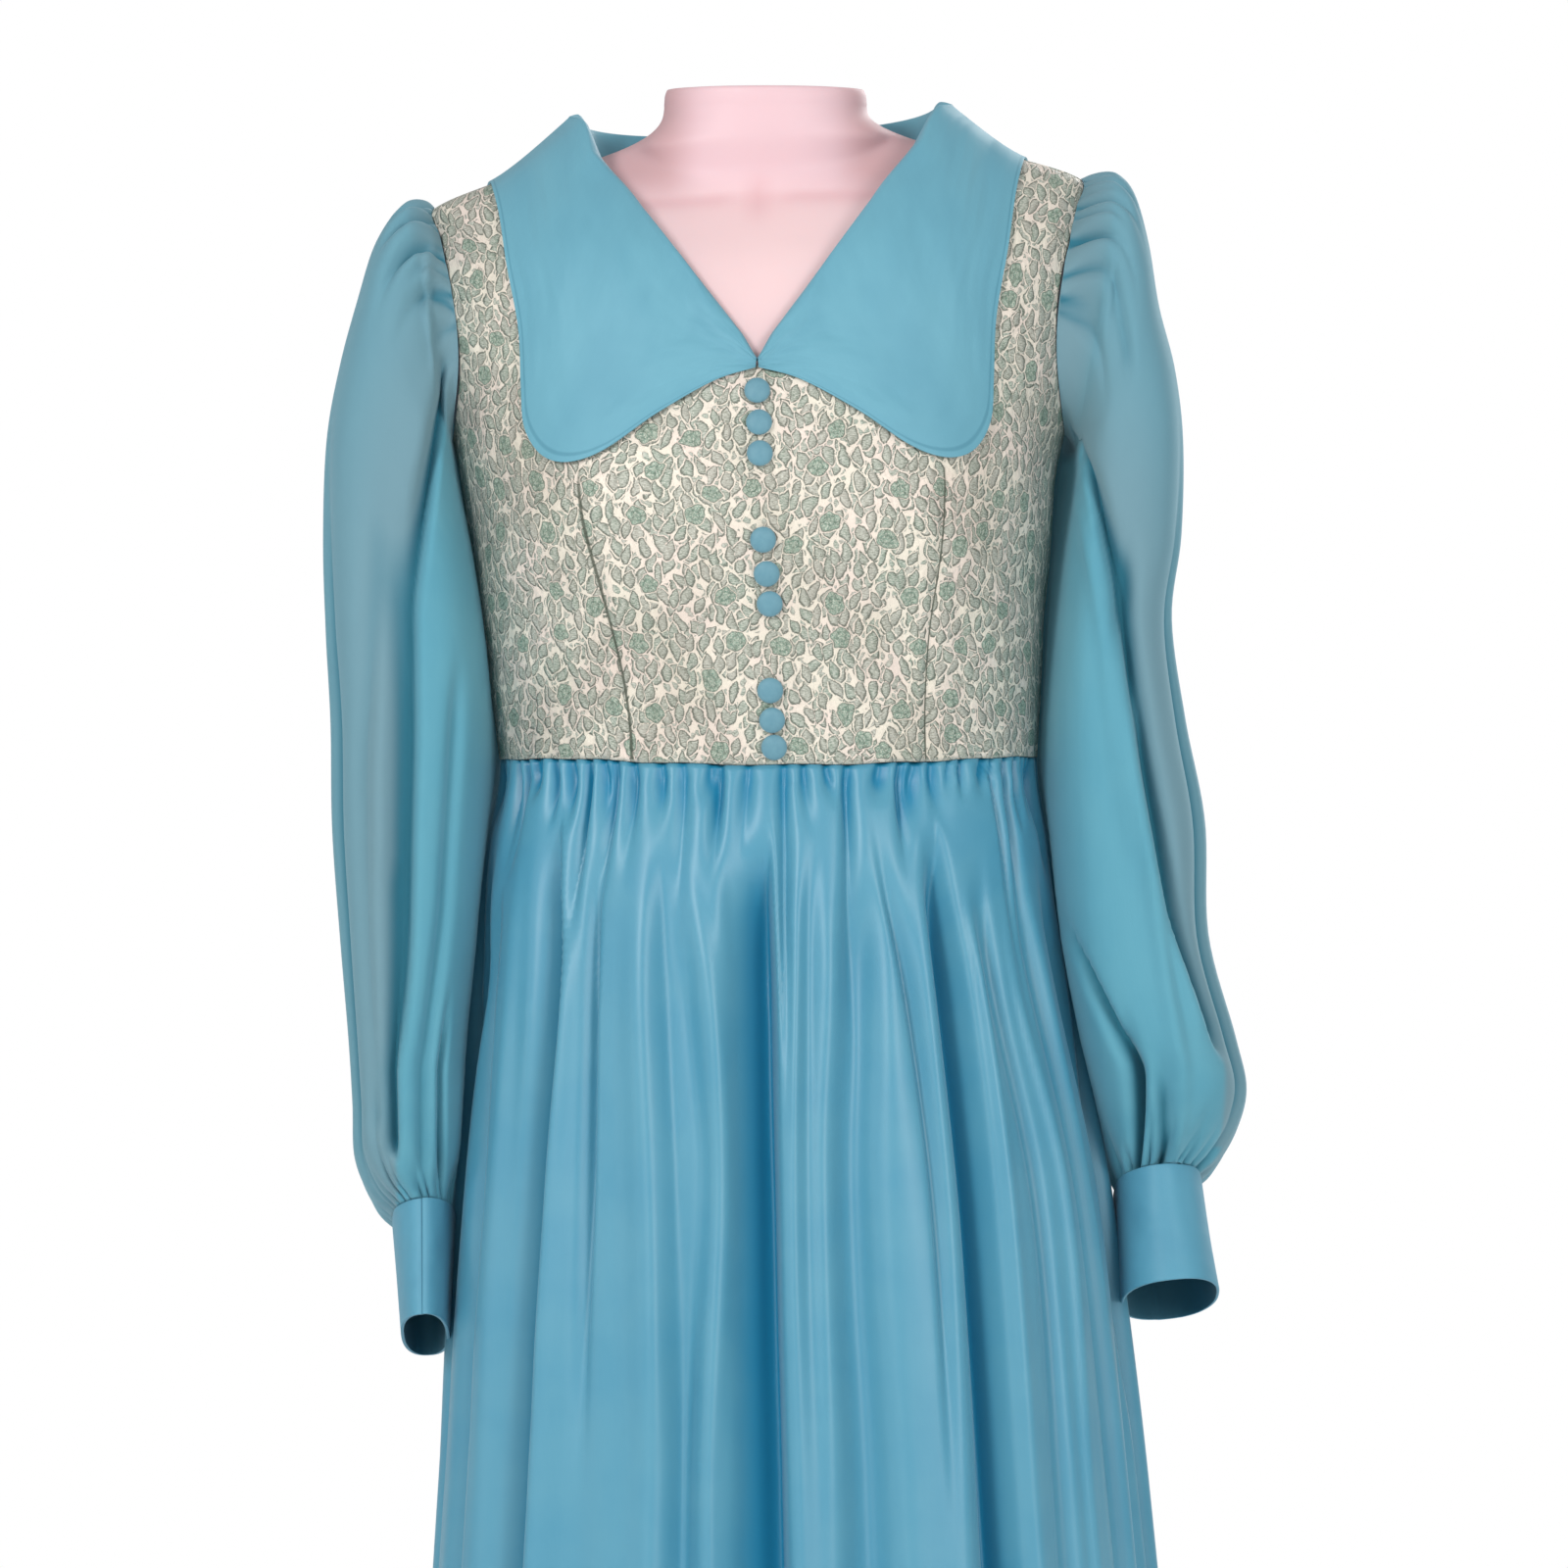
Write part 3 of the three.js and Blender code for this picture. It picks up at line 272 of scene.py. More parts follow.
# The collar's outer edge. neck is 0 at the point of the V, 1 at the shoulder and 2 at centre back.
COLLAR = table("neck edge_x edge_h", [
    (0.004, 0.35, 197.2),
    (0.14, 22, 190.5),
    (0.28, 50, 174),
    (0.4, 74, 156),
    (0.5, 91, 150.5),
    (0.58, 104, 155),
    (0.65, 113.5, 169),
    (0.73, 117, 190),
    (0.82, 120, 222),
    (0.91, 127, 257),
    (0.96, 131.5, 283),
    (1, 137, 301),
    (1.2, 140, 284),
    (1.4, 126, 263),
    (1.6, 98, 248),
    (1.76, 67, 235),
    (1.86, 43, 227.5),
    (1.93, 24, 228),
    (1.975, 13, 237),
])
COLLAR_CLEARANCE = 3.0
# How far the collar's fold line is drawn in towards the neck at places along the neckline
CREST_AT = [0.45, 0.7, 0.88, 1.0, 1.08, 1.3]
CREST_INWARD = {1: [0, -2.5, -6, -1, 0, 0], -1: [0, -2, -4.5, 4, 6, 0]}
COLLAR_RISE_V, COLLAR_RISE_SHOULDER, COLLAR_RISE_BACK = 2.5, 17, 21

# Long darts of the front: how far along the cloth they lie from centre front, low and at the top, and
# how wide the seam's line looks
DARTS = {
    1: {"low_x": 82, "top_x": 92, "top_h": 150, "line": 0.7},
    -1: {"low_x": 70, "top_x": 88, "top_h": 150, "line": 1.2},
}
DART_BOTTOM_H = 12

# Height above the waist seam, and how far each button sits from the middle
BUTTONS = [
    (185.5, 0),
    (169.5, 0.8),
    (154, 1),
    (111, 1.7),
    (94, 3),
    (79, 4),
    (35.5, 2.6),
    (20.5, 2.9),
    (6.8, 3.3),
]


# Small sums

def clamp01(x):
    return np.clip(x, 0, 1)


def smooth(x):
    x = clamp01(x)
    return x * x * (3 - 2 * x)


def mix(a, b, t):
    return a + (b - a) * t


def bump_at(x, middle, width, power=2.0):
    return np.exp(-(np.abs((x - middle) / width) ** power))


def sample(rows, key, at):
    """Every column of a table at each place asked for, smoothly between its rows."""
    at = np.asarray(at, float)
    keys = rows[key]
    last = len(keys) - 1
    i = np.clip(np.searchsorted(keys, at, side="right") - 1, 0, last - 1)
    before, after = np.maximum(i - 1, 0), np.minimum(i + 2, last)
    span = keys[i + 1] - keys[i]
    t = clamp01((at - keys[i]) / span)
    made = {}
    for name, column in rows.items():
        slope_a = (column[i + 1] - column[before]) / (keys[i + 1] - keys[before])
        slope_b = (column[after] - column[i]) / (keys[after] - keys[i])
        made[name] = (
            column[i] * (1 + 2 * t) * (1 - t) ** 2
            + column[i + 1] * t * t * (3 - 2 * t)
            + span * slope_a * t * (1 - t) ** 2
            + span * slope_b * t * t * (t - 1)
        )
    return made


def numbered(rows):
    count = len(next(iter(rows.values())))
    return {"row": np.arange(count, dtype=float), **rows}


def each_row(rows):
    return [dict(zip(rows, values)) for values in zip(*rows.values())]


# The body's surface

def rounded(x):
    return np.sign(x) * np.abs(x) ** (2 / RING_POWER)


def unrounded(x):
    return np.minimum(1, np.abs(x)) ** (RING_POWER / 2)


def sine_angle(share):
    return np.degrees(np.arcsin(unrounded(share)))


def depth_at(row, angle):
    return np.where(np.sin(np.radians(angle)) < 0, row["front"], row["back"])


def ring_point(row, angle):
    turn = np.radians(angle)
    return row["half_width"] * rounded(np.cos(turn)), depth_at(row, angle) * rounded(np.sin(turn))


def ring_reach(row, direction):
    c = np.abs(np.cos(np.radians(direction))) / row["half_width"]
    s = np.abs(np.sin(np.radians(direction))) / depth_at(row, direction)
    return (c**RING_POWER + s**RING_POWER) ** (-1 / RING_POWER)


def angle_at_x(row, x):
    return np.degrees(np.arccos(unrounded(x / row["half_width"])))


def lean_shift(h):
    return LEAN_X * np.sin((math.pi / 2) * clamp01(h / LEAN_FULL_H))


def leaned(x, y, h):
    rise = SHOULDER_TILT * x * clamp01(h / SHOULDER_TIP_H) ** 2
    return np.stack([x + lean_shift(h), y + 0 * x, WAIST_Z + h + rise], axis=-1)


def bust_rise(angle, h):
    return BUST_RISE * bump_at(angle, BUST_ANGLE, BUST_SPREAD) * bump_at(h, BUST_H, BUST_HEIGHT)


def torso_point(side, angle, h):
    x, y = ring_point(sample(TORSO, "h", h), angle)
    swell = 1 + bust_rise(angle, h) / np.hypot(x, y)
    return leaned(side * x * swell, y * swell, h)


def torso_reach(direction, h):
    row = sample(TORSO, "h", h)
    reach = ring_reach(row, direction)
    angle = sine_angle(reach * np.sin(np.radians(direction)) / depth_at(row, direction))
    return reach + bust_rise(np.where(direction < 0, -angle, angle), h)


def front_angle(x, h):
    return -angle_at_x(sample(TORSO, "h", h), x)


def back_angle(x, h):
    return angle_at_x(sample(TORSO, "h", h), x)


def side_angle(front, h):
    row = sample(TORSO, "h", h)
    depth = row["front"] if front else row["back"]
    angle = sine_angle(SEAM_GAP / 2 / depth)
    return -angle if front else angle


def facing(point_at, a, b, step_a=0.4, step_b=0.8):
    """Unit normals of a surface, found from places a little to each side."""
    along_a = point_at(a + step_a, b) - point_at(a - step_a, b)
    along_b = point_at(a, b + step_b) - point_at(a, b - step_b)
    normal = np.cross(along_a, along_b)
    return normal / np.linalg.norm(normal, axis=-1, keepdims=True)


def on_body(side, angle, h, out=0.0):
    """A place on the bodice, moved outwards."""
    def point_at(a, b):
        return torso_point(side, a, b)

    normal = side * facing(point_at, angle, h)
    return point_at(angle, h) + normal * np.asarray(out)[..., None], normal


# Making cloth

def finer(count):
    """A grid count."""
    return count


def linked(name, data):
    """A new object in the scene."""
    made = bpy.data.objects.new(name, data)
    bpy.context.scene.collection.objects.link(made)
    return made


def mesh_of(name, bm):
    """A smoothly shaded mesh from a bmesh, which is freed."""
    for face in bm.faces:
        face.smooth = True
    mesh = bpy.data.meshes.new(name)
    bm.to_mesh(mesh)
    bm.free()
    return mesh


@contextmanager
def opened(mesh):
    """A mesh as a bmesh, written back afterwards."""
    bm = bmesh.new()
    bm.from_mesh(mesh)
    yield bm
    bm.to_mesh(mesh)
    bm.free()


def ease(bm, verts, factor, passes):
    """Draws places towards the middle of their neighbours."""
    axes = {"use_axis_x": True, "use_axis_y": True, "use_axis_z": True}
    for _ in range(passes):
        bmesh.ops.smooth_vert(bm, verts=verts, factor=factor, **axes)


def cloth(name, columns, rows, place, width, length, closed=False, flip=False):
    """A grid of cloth. place gives the points, in mm, for u across and v along, both from 0 to 1."""
    bm = bmesh.new()
    bmesh.ops.create_grid(bm, x_segments=columns, y_segments=rows, size=0.5)
    mesh = mesh_of(name, bm)
    flat = np.zeros(len(mesh.vertices) * 3)
    mesh.vertices.foreach_get("co", flat)
    flat = flat.reshape(-1, 3)
    u, v = clamp01(flat[:, 0] + 0.5), clamp01(flat[:, 1] + 0.5)
    points, across, along, *marks = place(u, v)
    mesh.vertices.foreach_set("co", (points * MM).ravel())
    for mark, values in (marks[0] if marks else {}).items():
        mesh.attributes.new(mark, "FLOAT", "POINT").data.foreach_set("value", values.ravel())
    corner = np.zeros(len(mesh.loops), dtype=np.int32)
    mesh.loops.foreach_get("vertex_index", corner)
    across = u * width if across is None else across
    along = v * length if along is None else along
    layer = mesh.uv_layers.new(name="Cloth")
    layer.data.foreach_set("uv", (np.stack([across, along], axis=-1)[corner] * MM).ravel())
    with opened(mesh) as bm:
        if closed:
            bmesh.ops.remove_doubles(bm, verts=bm.verts, dist=1e-6)
        if flip:
            bmesh.ops.reverse_faces(bm, faces=bm.faces)
    mesh.update()
    return linked(name, mesh)


def thicken(piece, thickness):
    """Thickness is added on the inner side."""
    wall = piece.modifiers.new("Thickness", "SOLIDIFY")
    wall.thickness = thickness * MM
    wall.offset = -1.0
    wall.use_even_offset = False


def round_off(piece, width, segments=2):
    edge = piece.modifiers.new("Rounded edges", "BEVEL")
    edge.width = width * MM
    edge.segments = segments
    edge.limit_method = "ANGLE"
    edge.angle_limit = math.radians(50)


def dressed(piece, finish, slot, *nodes):
    """Gives a piece its finish, attaches it to the dress's body and hides the parts that it stands for."""
    piece.data.materials.append(finish)
    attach(piece, DRESS_BODY)
    if nodes:
        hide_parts(*nodes)


# Finishes

def srgb(red, green, blue):
    """A colour as seen, from 0 to 255, as the light that it stands for."""
    seen = (red / 255, green / 255, blue / 255)
    return tuple(c / 12.92 if c <= 0.04045 else ((c + 0.055) / 1.055) ** 2.4 for c in seen) + (1.0,)


class Finish:
    """A material and the nodes that draw it."""

    def __init__(self, name):
        self.material = bpy.data.materials.new(name)
        self.material.use_nodes = True
        self.nodes = self.material.node_tree.nodes
        self.links = self.material.node_tree.links
        self.shader = self.nodes["Principled BSDF"]

    def put(self, value, socket):
        if isinstance(value, bpy.types.NodeSocket):
            self.links.new(value, socket)
        elif value is not None:
            socket.default_value = value

    def sets(self, **values):
        for name, value in values.items():
            self.put(value, self.shader.inputs[name.replace("_", " ")])

    def add(self, kind, inputs=(), **settings):
        node = self.nodes.new("ShaderNode" + kind)
        for name, value in settings.items():
            setattr(node, name, value)
        for name, value in dict(inputs).items():
            self.put(value, node.inputs[name])
        return node

    def math(self, operation, a, b=None, c=None):
        node = self.add("Math", operation=operation)
        for socket, value in zip(node.inputs, (a, b, c)):
            self.put(value, socket)
        return node.outputs[0]

    def times(self, a, b):
        return self.math("MULTIPLY", a, b)

    def mark(self, name):
        """A value that the mesh carries at each of its places."""
        return self.add("Attribute", attribute_name=name).outputs["Fac"]

    def object_place(self):
        return self.add("TexCoord").outputs["Object"]

    def blend(self, factor, low, high, how="MIX"):
        node = self.add("Mix", data_type="RGBA", blend_type=how)
        self.put(factor, node.inputs[0])
        self.put(low, node.inputs[6])
        self.put(high, node.inputs[7])
        return node.outputs[2]

    def fade(self, value, low, high, to_low=0.0, to_high=1.0):
        """Smoothly from to_low to to_high as the value goes from low to high."""
        node = self.add("MapRange", interpolation_type="SMOOTHSTEP")
        for i, x in enumerate((value, low, high, to_low, to_high)):
            self.put(x, node.inputs[i])
        return node.outputs[0]

    def noise(self, vector, scale, detail=2.0, roughness=0.5):
        inputs = {"Vector": vector, "Scale": scale, "Detail": detail, "Roughness": roughness}
        return self.add("TexNoise", inputs).outputs["Fac"]

    def stretched(self, vector, x, y, z=1.0):
        return self.add("Mapping", {"Vector": vector, "Scale": (x, y, z)}).outputs[0]

    def cloth_place(self):
        """Where a place lies on its flat cloth, in mm."""
        uv = self.add("UVMap", uv_map="Cloth").outputs[0]
        return self.stretched(uv, 1000, 1000, 1000)

    def bump(self, height, strength, distance, over=None):
        inputs = {"Strength": strength, "Distance": distance, "Height": height, "Normal": over}
        return self.add("Bump", inputs).outputs[0]


# How far in a place lies, from where to where, and how much of the deep colour of the painted shade shows
# there
HOLLOW_TO_PAINTED_SHADE = (0.14, 0.6, 0, 0.95)


def plain_cloth(name, base, shade, rough, sheen, **extra):
    """Smooth woven cloth, a little uneven in colour, with a fine weave and painted shade in its hollows;
    where asked, painted light on its sheer parts and a faint painted glow.
    """
    finish = Finish(name)
    place = finish.cloth_place()
    clouds = finish.noise(place, 0.02, 3)
    slubs = finish.noise(finish.stretched(place, 0.6, 0.05), 1.0, 2)
    tone = finish.fade(clouds, 0.35, 0.68)
    tone = finish.math("MULTIPLY_ADD", slubs, 0.25, finish.times(tone, 0.6))
    colour = finish.blend(tone, base, shade)
    # painted light: a paler, greyer colour on the sheer parts, standing in for light that comes through the
    # single layer
    if "sheer" in extra:
        outer = finish.mark("Sheer")
        colour = finish.blend(outer, colour, extra["sheer"])
    # painted shade: the deep colour darkens the cloth where it folds in, as the shade in its hollows would
    if "deep" in extra:
        hollow = finish.mark("HollowShade")
        colour = finish.blend(finish.fade(hollow, *HOLLOW_TO_PAINTED_SHADE), colour, extra["deep"])
    threads = finish.noise(finish.stretched(place, 2.6, 1.1), 1.0, 1)
    normal = finish.bump(threads, extra.get("weave", 0.25), 0.0002)
    if "ripple" in extra:
        long_ripples = finish.noise(finish.stretched(place, 0.03, 0.003), 1.0, 2, 0.4)
        normal = finish.bump(long_ripples, extra["ripple"], 0.006, normal)
    if "crumple" in extra:
        creases = finish.noise(finish.stretched(place, 0.018, 0.034), 1.0, 2, 0.45)
        normal = finish.bump(creases, extra["crumple"], 0.012, normal)
    # a darker line along the collar's pressed edge: partly the pressed seam, partly painted shade of the
    # rolled edge
    if "pressed_at" in extra:
        along = finish.add("SeparateXYZ", {"Vector": place}).outputs[1]
        off = finish.math("ABSOLUTE", finish.math("SUBTRACT", along, extra["pressed_at"]))
        line = finish.fade(off, 1.2, 0.3)
        colour = finish.blend(finish.times(line, 0.4), colour, srgb(52, 118, 140))
        normal = finish.bump(line, -0.5, 0.0006, normal)
    finish.sets(Base_Color=colour, Roughness=rough, Sheen_Weight=sheen, Sheen_Roughness=0.45, Normal=normal)
    finish.sets(Sheen_Tint=srgb(205, 236, 246), Specular_IOR_Level=extra.get("specular", 0.5))
    # painted light: the glow, used on the sheer sleeves only, stands in for light coming through the cloth
    finish.sets(Emission_Color=colour, Emission_Strength=extra.get("glow", 0.0))
    finish.sets(Alpha=extra.get("alpha", 1.0))
    return finish.material


MOTIF_UNEVENNESS = 0.74


def motif_cells(finish, x, y, width, height, swing):
    """Places seen from the nearest motif's middle and turned with it, the way to its border, chances."""
    qx, qy = finish.math("DIVIDE", x, width), finish.math("DIVIDE", y, height)
    q = finish.add("CombineXYZ", {"X": qx, "Y": qy}).outputs[0]
    settings = {"Vector": q, "Scale": 1.0, "Randomness": MOTIF_UNEVENNESS}
    cells = finish.add("TexVoronoi", settings, voronoi_dimensions="2D")
    border = finish.add("TexVoronoi", settings, voronoi_dimensions="2D", feature="DISTANCE_TO_EDGE")
    away = finish.add("VectorMath", operation="SUBTRACT")
    finish.put(q, away.inputs[0])
    finish.put(cells.outputs["Position"], away.inputs[1])
    parts = finish.add("SeparateXYZ", {"Vector": away.outputs[0]})
    dx = finish.times(parts.outputs[0], width)
    dy = finish.times(parts.outputs[1], height)
    chance = finish.add("SeparateColor", {"Color": cells.outputs["Color"]})
    turn = finish.math("MULTIPLY_ADD", chance.outputs[0], 2 * swing, -swing)
    c, s = finish.math("COSINE", turn), finish.math("SINE", turn)
    across = finish.math("MULTIPLY_ADD", dx, c, finish.times(dy, s))
    along = finish.math("SUBTRACT", finish.times(dy, c), finish.times(dx, s))
    return across, along, border.outputs["Distance"], chance.outputs[1], chance.outputs[2]


def pointed(finish, across, along, half_length, half_width):
    """Below 1 inside a leaf that is pointed at both ends and fuller below its middle."""
    up = finish.math("DIVIDE", along, half_length)
    belly = finish.math("MULTIPLY_ADD", up, -0.25 * half_width, half_width)
    return finish.math("MULTIPLY_ADD", up, up, finish.math("DIVIDE", finish.math("ABSOLUTE", across), belly))


LEAF_SPACING = (7.0, 11.6)
LEAF_HALF_LENGTH, LEAF_HALF_WIDTH, LEAF_SWING = 5.6, 2.6, 0.75
SPRIG_SPACING = (4.4, 5.6)
SPRIG_HALF_LENGTH, SPRIG_HALF_WIDTH, SPRIG_SWING = 2.5, 1.3, 1.3
BLOOM_SPACING = (30, 27)
BLOOM_RADIUS, BLOOM_PETALS, BLOOM_SWING = 5.0, 5, 3.1
UNDER_LEAVES_SHIFT = (43.7, 26.3)
SPRIGS_SHIFT = (31.3, 17.7)
DART_SLIP = (3.1, 2.3)


def shifted(finish, x, y, by):
    return finish.math("ADD", x, by[0]), finish.math("ADD", y, by[1])


def leaves(finish, x, y):
    """One layer of leaves: the way across each leaf, below 1 inside it, and two chances of its own."""
    across, along, border, size, kind = motif_cells(finish, x, y, *LEAF_SPACING, LEAF_SWING)
    length = finish.math("MULTIPLY_ADD", size, LEAF_HALF_LENGTH * 0.3, LEAF_HALF_LENGTH * 0.8)
    leaf = pointed(finish, across, along, length, LEAF_HALF_WIDTH)
    return across, finish.math("MAXIMUM", leaf, finish.fade(border, 0.05, 0.02, 0, 2)), size, kind


def brocade():
    """Cream ground that shows as a fine net between pewter-green leaves, with blue-green blooms."""
    finish = Finish("brocade")
    flat = finish.cloth_place()
    parts = finish.add("SeparateXYZ", {"Vector": flat})
    x, y, dart = past_darts(finish, parts.outputs[0], parts.outputs[1])
    for scale, reach in ((0.11, 6.0), (1.0, 0.9)):
        moved = finish.add("TexNoise", {"Vector": flat, "Scale": scale, "Detail": 1.5}).outputs["Color"]
        moved = finish.add("SeparateColor", {"Color": moved})
        x = finish.math("MULTIPLY_ADD", moved.outputs[0], reach, x)
        y = finish.math("MULTIPLY_ADD", moved.outputs[1], reach, y)

    across, leaf, size, kind = leaves(finish, x, y)
    _, under, under_size, under_kind = leaves(finish, *shifted(finish, x, y, UNDER_LEAVES_SHIFT))
    on_top = finish.fade(leaf, 1.1, 0.97)
    size = finish.math("MULTIPLY_ADD", on_top, finish.math("SUBTRACT", size, under_size), under_size)
    kind = finish.math("MULTIPLY_ADD", on_top, finish.math("SUBTRACT", kind, under_kind), under_kind)
    leaf = finish.math("MINIMUM", leaf, finish.math("MAXIMUM", under, finish.fade(leaf, 1.46, 1.3, 0, 2)))
    in_leaf = finish.fade(leaf, 1.1, 0.97)
    sprig_x, sprig_y = shifted(finish, x, y, SPRIGS_SHIFT)
    tilted, upward, _, _, _ = motif_cells(finish, sprig_x, sprig_y, *SPRIG_SPACING, SPRIG_SWING)
    sprig = pointed(finish, tilted, upward, SPRIG_HALF_LENGTH, SPRIG_HALF_WIDTH)
    in_sprig = finish.times(finish.fade(sprig, 1.1, 0.9), finish.fade(leaf, 1.34, 1.5))
    bloom_x, bloom_y, _, _, _ = motif_cells(finish, x, y, *BLOOM_SPACING, BLOOM_SWING)
    out = finish.math("MULTIPLY_ADD", bloom_x, bloom_x, finish.times(bloom_y, bloom_y))
    out = finish.math("SQRT", out)
    round_bloom = finish.math("ARCTAN2", bloom_y, bloom_x)
    petals = finish.math("COSINE", finish.times(round_bloom, BLOOM_PETALS))
    bloom = finish.math("DIVIDE", out, finish.math("MULTIPLY_ADD", petals, 0.25, BLOOM_RADIUS))
    in_bloom = finish.fade(bloom, 1.02, 0.93)
    leafy = finish.times(finish.math("MAXIMUM", in_leaf, in_sprig), finish.fade(bloom, 1.06, 1.16))
    inside = finish.math("MAXIMUM", leafy, in_bloom)

    threads = finish.noise(finish.stretched(flat, 1.6, 5.0), 1.0, 2, 0.7)
    slant = {"Vector": flat, "Rotation": (0, 0, 0.7), "Scale": (0.55, 2.1, 1)}
    hatch = finish.noise(finish.add("Mapping", slant).outputs[0], 1.0, 2, 0.7)
    flecks = finish.noise(flat, 1.25, 2, 0.8)
    patches = finish.noise(flat, 0.035, 2)
    ground = finish.blend(finish.fade(patches, 0.4, 0.65), srgb(244, 235, 218), srgb(246, 228, 216))
    ground = finish.blend(finish.fade(threads, 0.42, 0.7, 0, 0.7), ground, srgb(200, 194, 176))
    of_leaf = finish.blend(size, srgb(154, 155, 140), srgb(184, 176, 164))
    green = finish.blend(finish.fade(patches, 0.35, 0.7), srgb(134, 156, 138), srgb(160, 164, 150))
    of_leaf = finish.blend(finish.fade(kind, 0.2, 0.7, 0.1, 0.85), of_leaf, green)
    of_leaf = finish.blend(finish.fade(hatch, 0.46, 0.56, 0, 0.85), of_leaf, srgb(206, 207, 195))
    of_leaf = finish.blend(finish.fade(hatch, 0.44, 0.34, 0, 0.7), of_leaf, srgb(116, 121, 107))
    # painted shade: each leaf lying on top is darker along one side, and the dark rim round the leaves is
    # partly their woven outline and partly painted shade of their raised edge
    shaded_leaf_side = finish.times(finish.fade(across, -0.4, 2.4, 0, 0.45), on_top)
    rim = finish.times(finish.math("MAXIMUM", finish.fade(leaf, 0.62, 0.9), shaded_leaf_side), in_leaf)
    of_leaf = finish.blend(finish.times(rim, 0.75), of_leaf, srgb(88, 94, 80))
    speckle = finish.blend(finish.fade(flecks, 0.4, 0.56), srgb(112, 148, 130), srgb(194, 202, 186))
    speckle = finish.blend(finish.fade(hatch, 0.45, 0.62, 0, 0.7), speckle, srgb(150, 160, 142))
    of_bloom = finish.blend(finish.fade(petals, -0.75, -0.3, 0.45, 0), speckle, srgb(104, 118, 102))
    of_bloom = finish.blend(finish.fade(bloom, 0.78, 0.96, 0, 0.6), of_bloom, srgb(92, 110, 94))
    from_ring = finish.math("ABSOLUTE", finish.math("SUBTRACT", out, 2.3))
    of_bloom = finish.blend(finish.fade(from_ring, 0.7, 0.2, 0, 0.5), of_bloom, srgb(84, 112, 96))
    colour = finish.blend(inside, ground, finish.blend(in_bloom, of_leaf, of_bloom))
    colour = finish.blend(finish.times(dart, 0.85), colour, srgb(74, 82, 66))
    colour = finish.blend(finish.fade(parts.outputs[1], 1.6, 0.9, 0, 0.5), colour, srgb(214, 214, 200))
    # painted shade: soft darker patches at random, standing in for the light and shade of the cloth's uneven
    # sheen and puckers
    sheen_shade_patches = finish.noise(finish.stretched(flat, 0.02, 0.012), 1.0, 2)
    colour = finish.blend(finish.fade(sheen_shade_patches, 0.4, 0.7, 0, 0.3), colour, srgb(196, 190, 182), "MULTIPLY")
    glints = finish.times(finish.fade(flecks, 0.6, 0.66), finish.math("SUBTRACT", 1.0, dart))
    colour = finish.blend(finish.times(glints, 0.6), colour, srgb(240, 238, 226))

    metal = finish.fade(flecks, 0.56, 0.68, 0.1, 0.5)
    rough = finish.fade(flecks, 0.5, 0.66, 0.55, 0.32)
    hollow = finish.math("MULTIPLY_ADD", rim, -0.5, inside)
    relief = finish.math("MULTIPLY_ADD", hatch, 0.4, hollow)
    puckers = finish.noise(finish.stretched(flat, 0.09, 0.05), 1.0, 3, 0.55)
    normal = finish.bump(relief, 0.8, 0.0008)
    normal = finish.bump(puckers, 0.6, 0.004, normal)
    finish.sets(Base_Color=colour, Metallic=metal, Roughness=rough, Normal=normal, Specular_IOR_Level=0.6)
    return finish.material


def past_darts(finish, x, y):
    """The front's two darts: the pattern slips a little past each, and a thin dark line shows the seam."""
    line = None
    for sign, dart in DARTS.items():
        middle = finish.fade(y, DART_BOTTOM_H, dart["top_h"], sign * dart["low_x"], sign * dart["top_x"])
        off = finish.math("SUBTRACT", x, middle)
        up = finish.fade(y, dart["top_h"] + 2, dart["top_h"] - 14)
        near = finish.fade(finish.math("ABSOLUTE", off), dart["line"], dart["line"] * 0.35)
        near = finish.times(near, up)
        line = near if line is None else finish.math("MAXIMUM", line, near)
        past = finish.math("GREATER_THAN", finish.times(off, sign), 0)
        slip = finish.times(past, up)
        x = finish.math("MULTIPLY_ADD", slip, sign * DART_SLIP[0], x)
        y = finish.math("MULTIPLY_ADD", slip, DART_SLIP[1], y)
    return x, y, line


def moulded_skin():
    """The form's smooth moulded plastic, pale pink, with painted shade on the neck, down its sides and under
    the collarbones.
    """
    finish = Finish("form_skin")
    place = finish.object_place()
    haze = finish.noise(place, 6.0, 3)
    colour = finish.blend(haze, srgb(246, 214, 213), srgb(238, 204, 206))
    parts = finish.add("SeparateXYZ", {"Vector": place})
    # painted shade: the upright neck darker and pinker than the chest, which faces up into the light
    up_neck = finish.fade(parts.outputs[2], (WAIST_Z + 276) * MM, (WAIST_Z + 302) * MM)
    colour = finish.blend(finish.times(up_neck, 0.85), colour, srgb(230, 194, 200))
    # painted shade: the sides of the neck darker, where they turn away from the light
    aside = finish.math("ABSOLUTE", finish.math("ADD", parts.outputs[0], 1.5 * MM))
    rounding = finish.times(finish.fade(aside, 30 * MM, 54 * MM, 0, 0.7), up_neck)
    colour = finish.blend(rounding, colour, srgb(206, 160, 160))
    # painted shade under the collarbones
    hollow = finish.mark("HollowShade")
    colour = finish.blend(finish.times(hollow, 0.55), colour, srgb(222, 172, 176))
    mould = finish.noise(place, 90.0, 2)
    finish.sets(Base_Color=colour, Roughness=finish.fade(haze, 0.3, 0.7, 0.46, 0.56))
    finish.sets(Normal=finish.bump(mould, 0.03, 0.0006))
    finish.sets(Subsurface_Weight=0.12, Subsurface_Radius=(0.02, 0.01, 0.008))
    return finish.material


